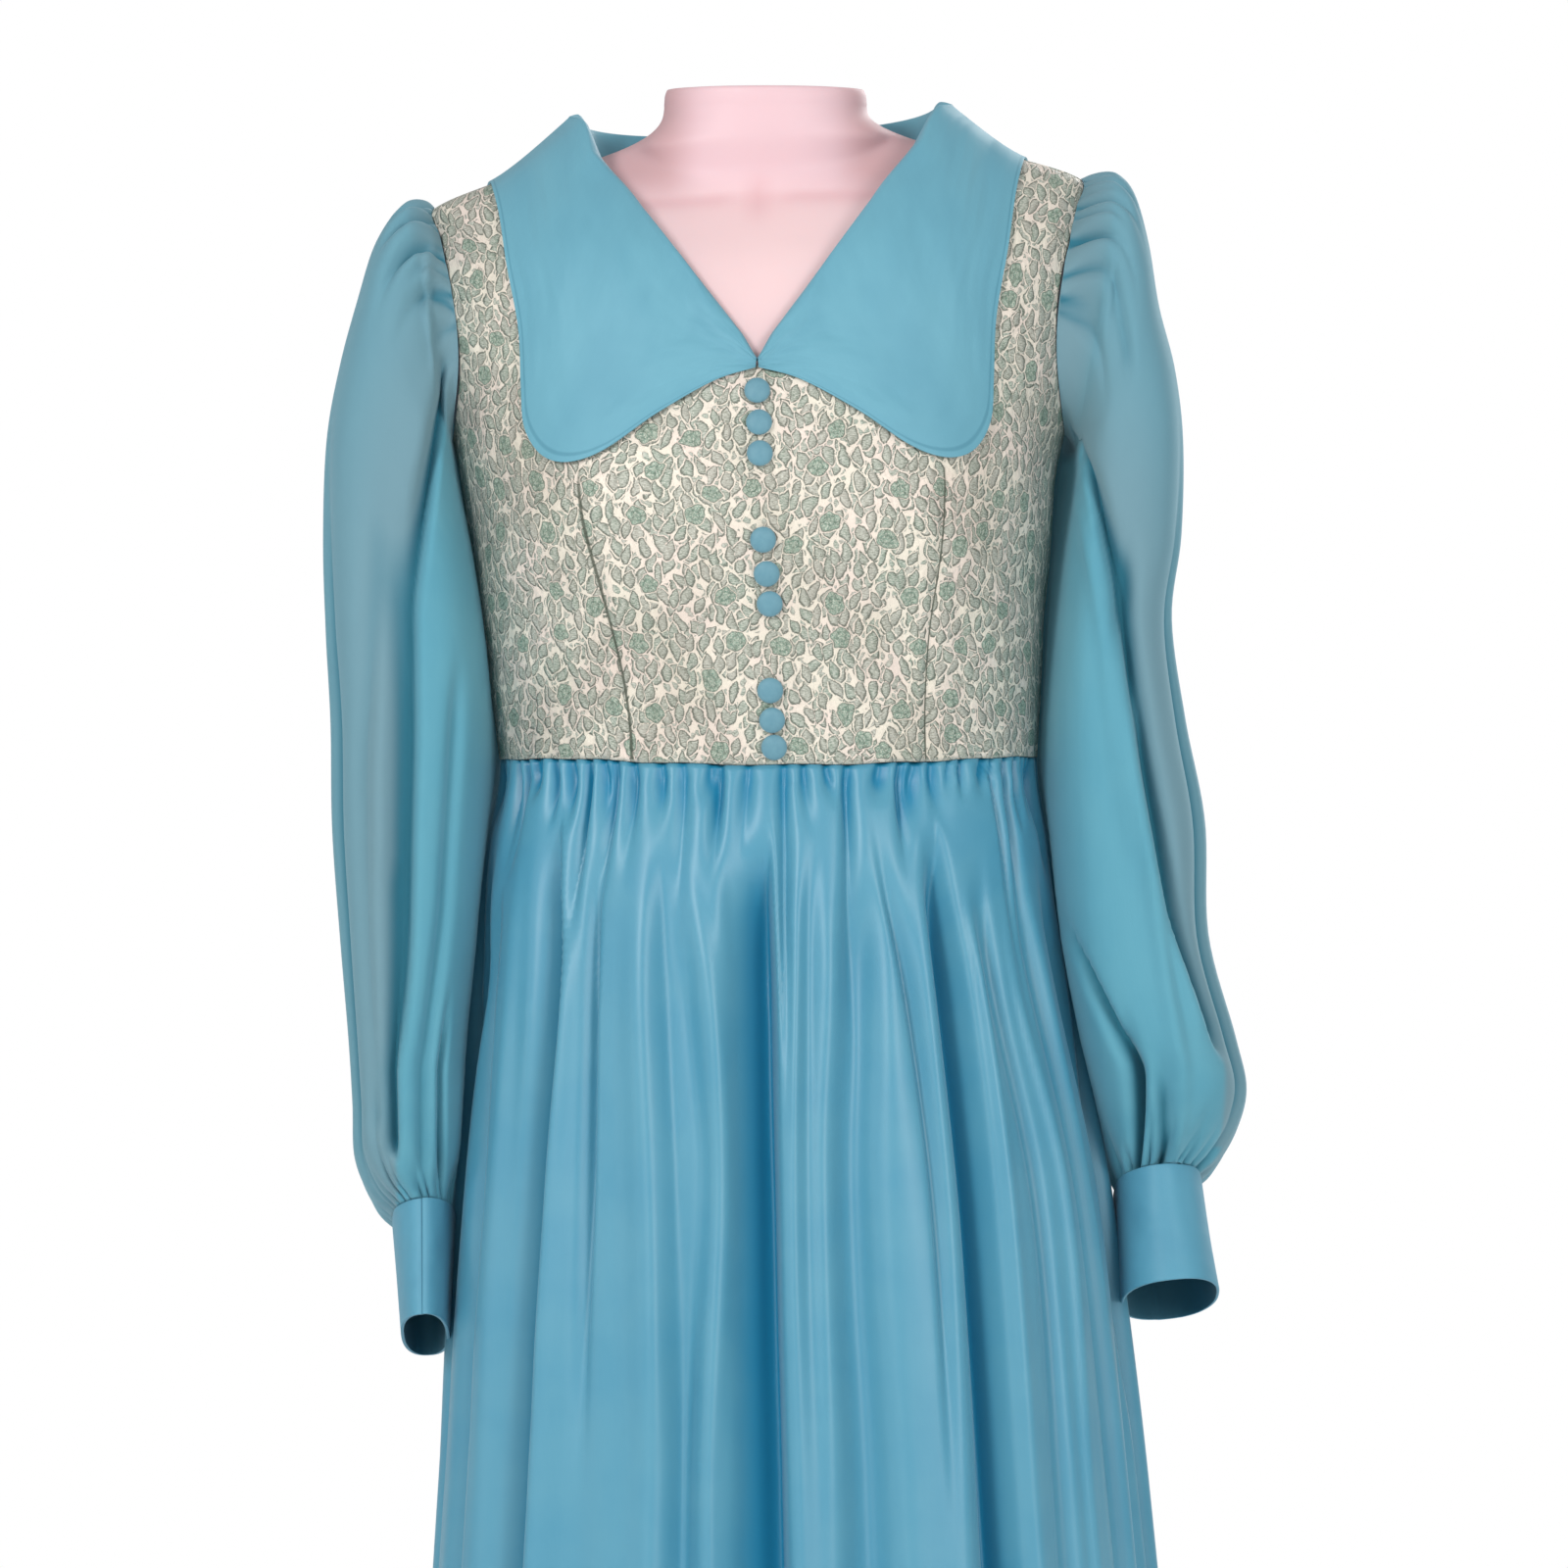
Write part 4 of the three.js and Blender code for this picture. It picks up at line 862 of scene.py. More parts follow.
def brushed_metal(name, base, rough):
    finish = Finish(name)
    place = finish.object_place()
    strokes = finish.noise(finish.stretched(place, 60, 60, 2500), 1.0, 2)
    finish.sets(
        Base_Color=finish.blend(finish.noise(place, 12.0, 2), base, srgb(225, 226, 226)),
        Metallic=1.0,
        Roughness=finish.fade(strokes, 0.3, 0.7, rough * 0.8, rough * 1.25),
        Normal=finish.bump(strokes, 0.06, 0.0002),
    )
    return finish.material


def nylon():
    finish = Finish("zip_nylon")
    place = finish.object_place()
    weave = finish.noise(finish.stretched(place, 2200, 2200, 900), 1.0, 1)
    colour = finish.blend(weave, srgb(88, 158, 180), srgb(116, 182, 200))
    finish.sets(Base_Color=colour, Roughness=0.42, Normal=finish.bump(weave, 0.15, 0.0002))
    return finish.material


BROCADE = brocade()
COLLAR_SATIN = plain_cloth(
    "collar_cloth", srgb(106, 168, 186), srgb(96, 158, 178), 0.6, 0.2, crumple=0.35, pressed_at=106.5
)
# painted shade: the cuffs are the collar's cloth, given a darker colour for the shade they lie in, and deep
# is the painted shadow at the lap
CUFF_SATIN = plain_cloth(
    "cuff_cloth", srgb(88, 156, 180), srgb(78, 146, 172), 0.55, 0.2, crumple=0.3, deep=srgb(40, 104, 126)
)
# painted shade: a dark copy of the cuff cloth for the inner face of each band, where only shade falls
CUFF_INSIDE_SHADED = plain_cloth("cuff_inside_shaded", srgb(46, 104, 124), srgb(36, 92, 112), 0.7, 0.1)
# deep is the colour of the painted shade in the skirt's folds
SKIRT_SATIN = plain_cloth(
    "skirt_cloth", srgb(84, 153, 177), srgb(70, 145, 173), 0.42, 0.3, weave=0.15, specular=0.6, ripple=0.05,
    deep=srgb(4, 126, 164),
)
# deep is the painted shade in the sleeves' folds, sheer the painted light through their single layers, glow
# a faint painted glow
CHIFFON = plain_cloth(
    "chiffon", srgb(100, 165, 183), srgb(90, 157, 177), 0.72, 0.3, weave=0.4, specular=0.2, alpha=0.9,
    ripple=0.12, deep=srgb(44, 116, 136), sheer=srgb(116, 152, 164), glow=0.06,
)
NYLON = nylon()
ZIP_METAL = brushed_metal("zip_metal", srgb(180, 184, 186), 0.28)
STAND_METAL = brushed_metal("stand_metal", srgb(196, 198, 200), 0.3)
SKIN = moulded_skin()


# Bodice

def armhole_edge(front, t):
    turn = math.pi * (1 - t)
    h = mix(UNDERARM_H, SHOULDER_TIP_H, 0.5 + 0.5 * np.cos(turn))
    reach = -ARMHOLE_FRONT_ANGLE if front else ARMHOLE_BACK_ANGLE
    return reach * np.sin(turn) + side_angle(front, h), h


def front_neckline(t):
    h = mix(V_BOTTOM_H, NECK_POINT_H, t)
    return np.minimum(side_angle(True, h), front_angle(NECK_POINT_X * t, h)), h


def back_neckline(angle):
    return angle, NECK_POINT_H - (NECK_POINT_H - BACK_NECK_H) * np.sin(np.radians(angle)) ** 2


def arc_from_front(angle, h, steps=28):
    """Length along the body from centre front, or from centre back for the back, to each angle."""
    start = np.where(angle < 0, -90.0, 90.0)
    total = np.zeros_like(angle)
    x0, y0 = ring_point(sample(TORSO, "h", h), start)
    for k in range(1, steps + 1):
        x1, y1 = ring_point(sample(TORSO, "h", h), mix(start, angle, k / steps))
        total += np.hypot(x1 - x0, y1 - y0)
        x0, y0 = x1, y1
    return total


def slope_length(h, front):
    """Length up the body from the waist seam, along its middle line."""
    heights = np.linspace(0, NECK_POINT_H, 160)
    rows = sample(TORSO, "h", heights)
    depth = rows["front"] if front else rows["back"]
    steps = np.hypot(np.diff(heights), np.diff(depth) * 0.5)
    return np.interp(h, heights, np.concatenate([[0], np.cumsum(steps)]))


LOWER_SHARE = 0.52
V_SHARE = 0.2
BACK_NECK_SHARE = 0.66


def below_and_beside(v):
    """How far up a place lies in the part below the armhole, and in the part beside it."""
    return clamp01(v / LOWER_SHARE), clamp01((v - LOWER_SHARE) / (1 - LOWER_SHARE))


def front_place(side):
    def place(u, v):
        lower, t = below_and_beside(v)
        arm_angle, arm_h = armhole_edge(True, t)
        neck_angle, neck_h = front_neckline(clamp01((t - V_SHARE) / (1 - V_SHARE)))
        under_v = t <= V_SHARE
        inner_angle = np.where(under_v, -90.0, neck_angle)
        inner_h = np.where(under_v, mix(UNDERARM_H, V_BOTTOM_H, t / V_SHARE), neck_h)
        below = v < LOWER_SHARE
        low_h = UNDERARM_H * lower
        inner_angle = np.where(below, -90.0, inner_angle)
        inner_h = np.where(below, low_h, inner_h)
        outer_angle = np.where(below, side_angle(True, low_h), arm_angle)
        outer_h = np.where(below, low_h, arm_h)
        angle, h = mix(inner_angle, outer_angle, u), mix(inner_h, outer_h, u)
        x = arc_from_front(angle, h)
        out = bodice_relief(side, x, h)
        points, _ = on_body(side, angle, h, out)
        points[:, 2] += waist_wave(side * (angle + 90)) * (1 - smooth(h / 70))
        return points, side * x, slope_length(h, True)

    return place


def bodice_relief(side, x, h):
    """Small rises and hollows of the fitted cloth: the dart, pulls at the waist and soft drag lines."""
    dart = DARTS[side]
    line = mix(dart["low_x"], dart["top_x"], (h - DART_BOTTOM_H) / (dart["top_h"] - DART_BOTTOM_H))
    along = smooth((dart["top_h"] + 4 - h) / 30) * smooth((h + 6) / 8)
    groove = -0.9 * along * bump_at(x, line, 1.8)
    tuck = 0.7 * along * bump_at(x, line - 5, 5)
    pulls = 0.35 * np.sin(x * 0.42 + side) * (1 - smooth(h / 26))
    drag = 0.5 * np.sin(x * 0.05 + h * 0.085 + side * 1.3) * smooth((h - 20) / 60)
    return groove + tuck + (pulls + drag) * smooth(x / 14)


def back_place(side):
    def place(u, v):
        lower, t = below_and_beside(v)
        arm_angle, arm_h = armhole_edge(False, t)
        middle_h = mix(UNDERARM_H, BACK_NECK_H, clamp01(t / BACK_NECK_SHARE))
        round_neck = clamp01((t - BACK_NECK_SHARE) / (1 - BACK_NECK_SHARE))
        neck_from, neck_to = back_angle(ZIP_HALF_GAP, BACK_NECK_H), side_angle(False, NECK_POINT_H)
        neck_angle, neck_h = back_neckline(mix(neck_from, neck_to, round_neck))
        low_h = UNDERARM_H * lower
        below, straight = v < LOWER_SHARE, t <= BACK_NECK_SHARE
        inner_h = np.where(below, low_h, np.where(straight, middle_h, neck_h))
        inner_angle = np.where(straight, back_angle(ZIP_HALF_GAP, inner_h), neck_angle)
        outer_angle = np.where(below, side_angle(False, low_h), arm_angle)
        outer_h = np.where(below, low_h, arm_h)
        angle, h = mix(inner_angle, outer_angle, u), mix(inner_h, outer_h, u)
        x = arc_from_front(angle, h)
        dart = -0.9 * bump_at(x, 62 + h * 0.05, 1.8) * smooth((150 - h) / 30)
        pulls = 0.35 * np.sin(x * 0.4 + side) * (1 - smooth(h / 26))
        drag = 0.5 * np.sin(x * 0.06 + h * 0.07 + side)
        relief = dart + (pulls + drag * smooth(h / 60)) * smooth(x / 14)
        points, _ = on_body(side, angle, h, relief)
        return points, side * (400 - x), slope_length(h, False)

    return place


def make_bodice():
    halves = []
    for side in (1, -1):
        name = f"bodice_front_half_{side}"
        halves.append(cloth(name, finer(96), finer(124), front_place(side), 190, 320, flip=side < 0))
    front = join_at_middle("brocade_front", halves)
    thicken(front, BODICE_CLOTH)
    dressed(front, BROCADE, "brocade", "bodice_front")
    for name, side in SIDES.items():
        columns, rows = finer(80), finer(116)
        back = cloth(f"brocade_back_{name}", columns, rows, back_place(side), 190, 320, flip=side > 0)
        thicken(back, BODICE_CLOTH)
        dressed(back, BROCADE, "brocade", f"bodice_back_{name}")


def join_at_middle(name, halves):
    """Two mirrored halves as one mesh, closed along the line where they meet."""
    bm = bmesh.new()
    for half in halves:
        bm.from_mesh(half.data)
        bpy.data.objects.remove(half)
    bmesh.ops.remove_doubles(bm, verts=bm.verts, dist=2e-5)
    return linked(name, mesh_of(name, bm))


# Skirt

def fold_angle(x, h):
    """The angle from centre front at which a fold lies, from how far to the side it is seen."""
    row = sample(SKIRT, "h", h)
    share = (x - row["centre_x"]) / row["half_width"]
    return np.sign(share) * sine_angle(share)


def slopes(off, right, left, power=2.0):
    """1 at a fold's line, falling to 0 over the width of its slope on each side."""
    width = np.where(off < 0, right, left)
    return np.exp(-(np.abs(off / width) ** power))


def growth(h):
    """How much deeper a fold is further down."""
    return smooth((-h - 4) / 110) * mix(0.7, 1.1, clamp01(h / HEM_H))


def widening(h):
    """How much wider a fold's slopes are further down."""
    return mix(1.0, 1.35, smooth((-h - 200) / 800))


def long_folds(from_front, h):
    """How far the folds of the front cut in, from their table."""
    depth = np.zeros_like(h)
    wider = widening(h)
    heights = np.array([-357.0, -212.0, -112.0, -25.0])
    for i, fold in enumerate(each_row(SKIRT_FOLDS)):
        seen = np.array([fold["x_357"], fold["x_212"], fold["x_112"], fold["x_25"]])
        path = {"h": heights, "turn": fold_angle(seen, heights)}
        middle = sample(path, "h", h)["turn"]
        middle = middle + 0.9 * np.sin(h * 0.0055 + i * 2.1) * smooth((-h - 330) / 300)
        shape = slopes(from_front - middle, fold["slope_right"] * wider, fold["slope_left"] * wider)
        shown = smooth((fold["starts"] - h) / 70) * smooth((h - fold["ends"]) / 200)
        depth += fold["depth"] * shape * shown
    return growth(h) * depth


def hidden_folds(from_front, h):
    """Folds of the sides and back, uneven in width and depth like those of the front."""
    chance = np.random.default_rng(11)
    depth = np.zeros_like(h)
    wider = widening(h)
    around = np.where(from_front < -60, from_front + 360, from_front)
    for k, place in enumerate(np.linspace(84, 276, 2 * BACK_FOLDS - 3)):
        middle = place + chance.uniform(-2.5, 2.5) + chance.uniform(0.5, 2) * np.sin(h * 0.004 + k)
        deep = chance.uniform(20, 34) if k % 2 == 0 else chance.uniform(-5, 10)
        right, left = chance.uniform(1.0, 4.4), chance.uniform(1.0, 4.4)
        starts = chance.uniform(-70, -5)
        shape = slopes(around - middle, right * wider, left * wider)
        depth += deep * shape * smooth((starts - h) / 80)
    return growth(h) * depth


def waist_gathers(from_front, h):
    """Short creases that fan down from the waist seam, each with its own depth, width and length."""
    chance = np.random.default_rng(5)
    depth = np.zeros_like(h)
    step = 360 / GATHERS_ROUND_WAIST
    for k in range(GATHERS_ROUND_WAIST):
        middle = -180 + (k + 0.5) * step + chance.uniform(-0.36, 0.36) * step
        drift = chance.uniform(-2.2, 2.2)
        deep, width = chance.uniform(4, 13), chance.uniform(0.65, 1.4)
        length = chance.choice(GATHER_LENGTHS, p=GATHER_SHARES)
        down = clamp01(-h / length)
        off = (from_front - middle - drift * down + 180) % 360 - 180
        crease = np.exp(-((np.abs(off) / (width * (1 + 1.3 * down))) ** 1.5))
        depth += deep * crease * (1 - smooth(down)) * (0.5 + 0.5 * smooth(-h / 10))
    return depth


def soft_ripples(from_front, h):
    """Shallow uneven waves between the folds."""
    wave = np.sin(from_front * 0.29 + 1.4 * np.sin(h * 0.005)) * 1.3
    wave += np.sin(from_front * 0.71 + 2 + 2.2 * np.sin(h * 0.0043 + 1)) * 0.3
    return wave * smooth((-h - 20) / 120)


def waist_wave(from_front):
    """The front's waist seam rises and dips a little."""
    wave = 1.6 * bump_at(from_front, 66, 26) - 2.2 * bump_at(from_front, 2, 34)
    wave = wave + 1.0 * bump_at(from_front, -44, 16)
    return wave + 0.35 * np.sin(from_front * 0.31) * bump_at(from_front, 0, 80, 4)


def room_inside(h):
    """How far the cloth may fold in before it meets the form."""
    return mix(4.2, 9, smooth(-h / 14)) + 36 * smooth((-h - 10) / 90)


def skirt_cut(from_front, h):
    cut = long_folds(from_front, h) + hidden_folds(from_front, h)
    cut = cut + waist_gathers(from_front, h) + soft_ripples(from_front, h)
    room = room_inside(h)
    return np.where(cut > 0, room * np.tanh(np.maximum(cut, 0) / room), cut)


FINE_STEPS = 1500


def skirt_place(start, stop, columns):
    """Columns are laid at equal steps along the folded cloth, so that each fold has as many as it needs."""
    def place(u, v):
        row_at, row_of = np.unique(np.round(v, 7), return_inverse=True)
        h = mix(HEM_H, -SEAM_GAP, skirt_rows(row_at))[:, None]
        row = sample(SKIRT, "h", h)
        at_zip = mix(SEAM_GAP / 2, ZIP_HALF_GAP, smooth((h - ZIP_BOTTOM_H - 3) / 8))
        zip_gap = 90 - angle_at_x(row, at_zip)
        side_gap = sine_angle(SEAM_GAP / 2 / row["front"])
        first = start + (zip_gap if start == 90 else side_gap)
        last = stop - (zip_gap if stop == 90 else side_gap)
        angle = mix(first, last, np.linspace(0, 1, FINE_STEPS)[None, :])
        from_front = (angle + 90 + 540) % 360 - 180
        x, y = ring_point(row, angle)
        cut = skirt_cut(from_front, h + 0 * angle)
        taken = 1 - cut / np.hypot(x, y)
        x, y = row["centre_x"] + x * taken, y * taken
        step = np.hypot(np.diff(x, axis=1), np.diff(y, axis=1))
        length = np.concatenate([np.zeros((len(row_at), 1)), np.cumsum(step, axis=1)], axis=1)
        column_of = np.rint(u * columns).astype(int)
        made = np.zeros((len(row_at), columns + 1, 5))
        for i in range(len(row_at)):
            at = np.linspace(0, length[i, -1], columns + 1)
            curves = (x[i], y[i], cut[i] / room_inside(h[i]), waist_wave(from_front[i]))
            for k, curve in enumerate(curves):
                made[i, :, k] = np.interp(at, length[i], curve)
            made[i, :, 3] *= 1 - smooth(-h[i] / 90)
            made[i, :, 4] = at - length[i, -1] / 2
        # the cut, measured against the room inside, is carried to the finish for painted shade in the folds
        x, y, hollow, wave, across = (made[row_of, column_of, k] for k in range(5))
        height = (WAIST_Z + h[:, 0])[row_of]
        return np.stack([x, y, height + wave], axis=-1), across, height, {"HollowShade": hollow}

    return place


SKIRT_ROWS = 118


def skirt_rows(v):
    """Rows lie closer together towards the waist, where the gathers are."""
    return 1 - (1 - v) * (0.3 + 0.7 * (1 - v))


def make_skirt():
    panels = [
        ("skirt_front_drape", "skirt_front", -180, 0, 390, 0.93, 0.81),
        ("skirt_back_left_drape", "skirt_back_left", 0, 90, 195, 0.45, 0.384),
        ("skirt_back_right_drape", "skirt_back_right", 90, 180, 195, 0.46, 0.395),
    ]
    for name, node, start, stop, columns, width, area in panels:
        columns = finer(columns)
        panel = cloth(name, columns, finer(SKIRT_ROWS), skirt_place(start, stop, columns), 0, 0)
        thicken(panel, SKIRT_CLOTH)
        dressed(panel, SKIRT_SATIN, "skirt_cloth", node)


# Sleeves and cuffs

def clear_of_body(points):
    """Moves places out of the body or the skirt beside them."""
    h = points[:, 2] - WAIST_Z
    low = h < 0
    row = sample(SKIRT, "h", np.minimum(h, 0))
    centre = np.where(low, row["centre_x"], lean_shift(h))
    x, y = points[:, 0] - centre, points[:, 1]
    direction = np.degrees(np.arctan2(y, np.abs(x)))
    above = torso_reach(direction, clamp01(h / UNDERARM_H) * UNDERARM_H)
    reach = np.where(low, ring_reach(row, direction), above) + SLEEVE_CLEARANCE
    away = np.hypot(x, y)
    push = np.where((away < reach) & (h < UNDERARM_H - 8), reach / away, 1)
    return np.stack([centre + x * push, y * push, points[:, 2]], axis=-1)


def armhole_loop(side, turn, out):
    front = turn < 180
    t = np.where(front, 1 - turn / 180, turn / 180 - 1)
    angle_f, h_f = armhole_edge(True, t)
    angle_b, h_b = armhole_edge(False, t)
    points, _ = on_body(side, np.where(front, angle_f, angle_b), np.where(front, h_f, h_b), out)
    return points


SECTION_POWER = 2.7
CUFF_POWER = 2.4


def section(side, row, middle_y, turn, cut=0.0, dip=0.0, power=SECTION_POWER, wrap=0.0):
    """A place on a flattened oval. wrap draws its back inner part in behind the body."""
    turned = np.radians(turn)
    c = np.sign(np.cos(turned)) * np.abs(np.cos(turned)) ** (2 / power)
    s = np.sign(np.sin(turned)) * np.abs(np.sin(turned)) ** (2 / power)
    scale = 1 - cut / row["depth"]
    x = mix(row["in_x"], row["out_x"], 0.5 + 0.5 * c * scale)
    x = x - wrap * bump_at(turn, 222, 38, 4)
    h = mix(row["in_h"], row["out_h"], 0.5 + 0.5 * c * scale)
    y = -row["depth"] * s * scale
    return np.stack([side * x, middle_y + y, WAIST_Z + h - dip * y], axis=-1)


def between(a, b):
    return (a - b + 180) % 360 - 180


CAP_SPAN = 98
CAP_GATHERS, CAP_GATHER_DEPTHS, CAP_GATHER_LENGTHS = 22, (6, 13), (2.4, 5.6)
CUFF_GATHERS, CUFF_GATHER_DEPTHS, CUFF_GATHER_LENGTHS = 26, (4, 9), (1.4, 3.8)
WRAP_BEHIND = {"left": 22, "right": 12}


def seen_turn(rows, seen, steps):
    """The turn round the front of each section at which a fold seen at x by height lies."""
    row = sample(rows, "row", steps)
    share = np.zeros_like(steps)
    for _ in range(8):
        h = mix(row["in_h"], row["out_h"], 0.5 + 0.5 * share)
        x = np.interp(-h, [-a for a in SEEN_HEIGHTS], seen)
        share = np.clip(2 * (x - row["in_x"]) / (row["out_x"] - row["in_x"]) - 1, -0.97, 0.97)
    turn = np.degrees(np.arccos(np.sign(share) * np.abs(share) ** (SECTION_POWER / 2)))
    return turn, mix(row["in_h"], row["out_h"], 0.5 + 0.5 * share)


def front_fold(fold, rows, t):
    """The turn and the height of a fold of a sleeve's front at each place along the sleeve."""
    steps = np.linspace(0, LAST_SECTION, 69)
    seen = [fold[key] for key in FRONT_FOLDS.split()[:len(SEEN_HEIGHTS)]]
    turns, heights = seen_turn(rows, seen, steps)
    return np.interp(t, steps, turns), np.interp(t, steps, heights)


def outer_panel(name, rows, turn, t):
    """1 outside the main fold, where light comes through the cloth, and 0 inside it, beside the body."""
    middle, _ = front_fold(each_row(SLEEVE_FRONT_FOLDS[name])[0], rows, t)
    front = smooth((middle - turn) / 8 + 0.5) * (1 - 0.45 * smooth((middle - turn) / 80))
    behind = 0.55 * smooth((turn - 250) / 90)
    cap = 1 - smooth((t - 1) / 2.5)
    return np.maximum(np.where(turn <= 180, front, behind), cap)


def front_cut(name, rows, turn, t):
    cut = np.zeros_like(t)
    for fold in each_row(SLEEVE_FRONT_FOLDS[name]):
        middle, h = front_fold(fold, rows, t)
        shown = smooth((fold["starts"] - h) / 45) * smooth((h - fold["ends"]) / 22 + 0.35)
        off = between(turn, middle)
        cut += fold["depth"] * slopes(off, fold["outer"], fold["inner"]) * shown
    return cut


def sleeve_cut(name, rows, turn, t):
    cut = front_cut(name, rows, turn, t)
    chance = np.random.default_rng(21 if name == "left" else 22)
    for i, fold in enumerate(each_row(SLEEVE_BACK_FOLDS)):
        middle = np.interp(t, [1, 9, 17], [fold["top"], fold["middle"], fold["low"]])
        middle = middle + chance.uniform(-7, 7) + 1.6 * np.sin(t * 0.33 + i)
        shown = smooth((t - fold["starts"]) / 3.5) * (1 - 0.7 * smooth((t - fold["ends"] + 3) / 3))
        cut += fold["depth"] * slopes(between(turn, middle), fold["outer"], fold["inner"]) * shown
    for k in range(CAP_GATHERS):
        place = mix(-CAP_SPAN, CAP_SPAN, (k + 0.5) / CAP_GATHERS) + chance.uniform(-3, 3)
        deep, length = chance.uniform(*CAP_GATHER_DEPTHS), chance.uniform(*CAP_GATHER_LENGTHS)
        crease = bump_at(between(turn, place + chance.uniform(-2, 2) * t), 0, 2.6 + 0.6 * t, 1.6)
        cut += deep * crease * smooth(t / 0.3 + 0.3) * (1 - smooth(t / length))
    up = LAST_SECTION - t
    for k in range(CUFF_GATHERS):
        place = 360 * (k + 0.5) / CUFF_GATHERS + chance.uniform(-4, 4)
        deep, length = chance.uniform(*CUFF_GATHER_DEPTHS), chance.uniform(*CUFF_GATHER_LENGTHS)
        crease = bump_at(between(turn, place + chance.uniform(-3, 3) * up), 0, 2.8 + 1.1 * up, 1.6)
        cut += deep * crease * (1 - smooth(up / length)) * (0.5 + 0.5 * smooth(up / 0.4))
    ripple = np.sin(turn * 0.06 + t * 0.5) * 0.9 + np.sin(turn * 0.11 - t * 0.37 + 2) * 0.5
    return cut + ripple * smooth((t - 1.5) / 3) * smooth((16 - t) / 3)


def sleeve_place(name):
    side = SIDES[name]
    rows = numbered(SLEEVES[name])

    def place(u, v):
        turn = (360 * u) % 360
        t = v * LAST_SECTION
        row = sample(rows, "row", t)
        wrist = smooth((t - LAST_SECTION + 5) / 5)
        middle_y = mix(ELBOW_Y * t / LAST_SECTION, WRIST_FORWARD[name] + CUFF_SLANT, wrist)
        wrap = WRAP_BEHIND[name] * smooth((t - 1.2) / 2.5) * (1 - wrist)
        cut = sleeve_cut(name, rows, turn, t)
        power = mix(SECTION_POWER, CUFF_POWER, wrist)
        oval = section(side, row, middle_y, turn, cut, CUFF_DIP * wrist, power, wrap)
        attached = smooth(t / 2)[:, None]
        edge = armhole_loop(side, turn, 0.6)
        # the fold cut is carried to the finish for painted shade, and the outer panel for painted light
        # through the sheer cloth
        marks = {"HollowShade": cut / 20, "Sheer": outer_panel(name, rows, turn, t)}
        return clear_of_body(edge * (1 - attached) + oval * attached), None, None, marks

    return place


def cuff_place(name):
    side = SIDES[name]
    rows = numbered(CUFFS[name])

    def place(u, v):
        turn = (360 * u) % 360
        middle_y = mix(WRIST_FORWARD[name] + CUFF_SLANT, WRIST_FORWARD[name], v)
        off = between(turn, CUFF_LAP_TURN[name])
        lap = 0.9 * smooth(off / 3 + 0.5) * (1 - smooth((off - 20) / 50))
        tuck = 0.5 * np.sin(turn * 0.12) * (1 - v) - lap
        points = section(side, sample(rows, "row", v * 2), middle_y, turn, tuck, CUFF_DIP, CUFF_POWER)
        points[:, 2] -= SEAM_GAP
        # a painted shadow line along the edge of the lap
        return points, None, None, {"HollowShade": 0.7 * bump_at(off, -1.6, 1.6)}

    return place


def make_sleeves():
    for name, side in SIDES.items():
        tube = {"closed": True, "flip": side > 0}
        columns, rows = finer(208), finer(132)
        sleeve = cloth(f"sleeve_{name}_drape", columns, rows, sleeve_place(name), 420, 520, **tube)
        thicken(sleeve, SLEEVE_CLOTH)
        dressed(sleeve, CHIFFON, "chiffon", f"sleeve_{name}")
        cuff = cloth(f"cuff_{name}_band", finer(180), finer(24), cuff_place(name), 210, 57, **tube)
        thicken(cuff, CUFF_CLOTH)
        round_off(cuff, 0.5)
        dressed(cuff, CUFF_INSIDE_SHADED, "collar_cloth", f"cuff_{name}")
        cuff.data.materials.append(CUFF_SATIN)
        cuff.modifiers["Thickness"].material_offset = 1
        cuff.modifiers["Thickness"].material_offset_rim = 1


# Collar

STAND_SHARE = 0.2


def neckline_at(place):
    front_part = front_neckline(np.minimum(place, 1))
    back_part = back_neckline((np.maximum(place, 1) - 1) * 90)
    return tuple(np.where(place <= 1, f, b) for f, b in zip(front_part, back_part))


def collar_roll(place):
    to_shoulder = mix(COLLAR_RISE_V, COLLAR_RISE_SHOULDER, smooth(place) * place)
    return np.where(place <= 1, to_shoulder, mix(COLLAR_RISE_SHOULDER, COLLAR_RISE_BACK, place - 1))


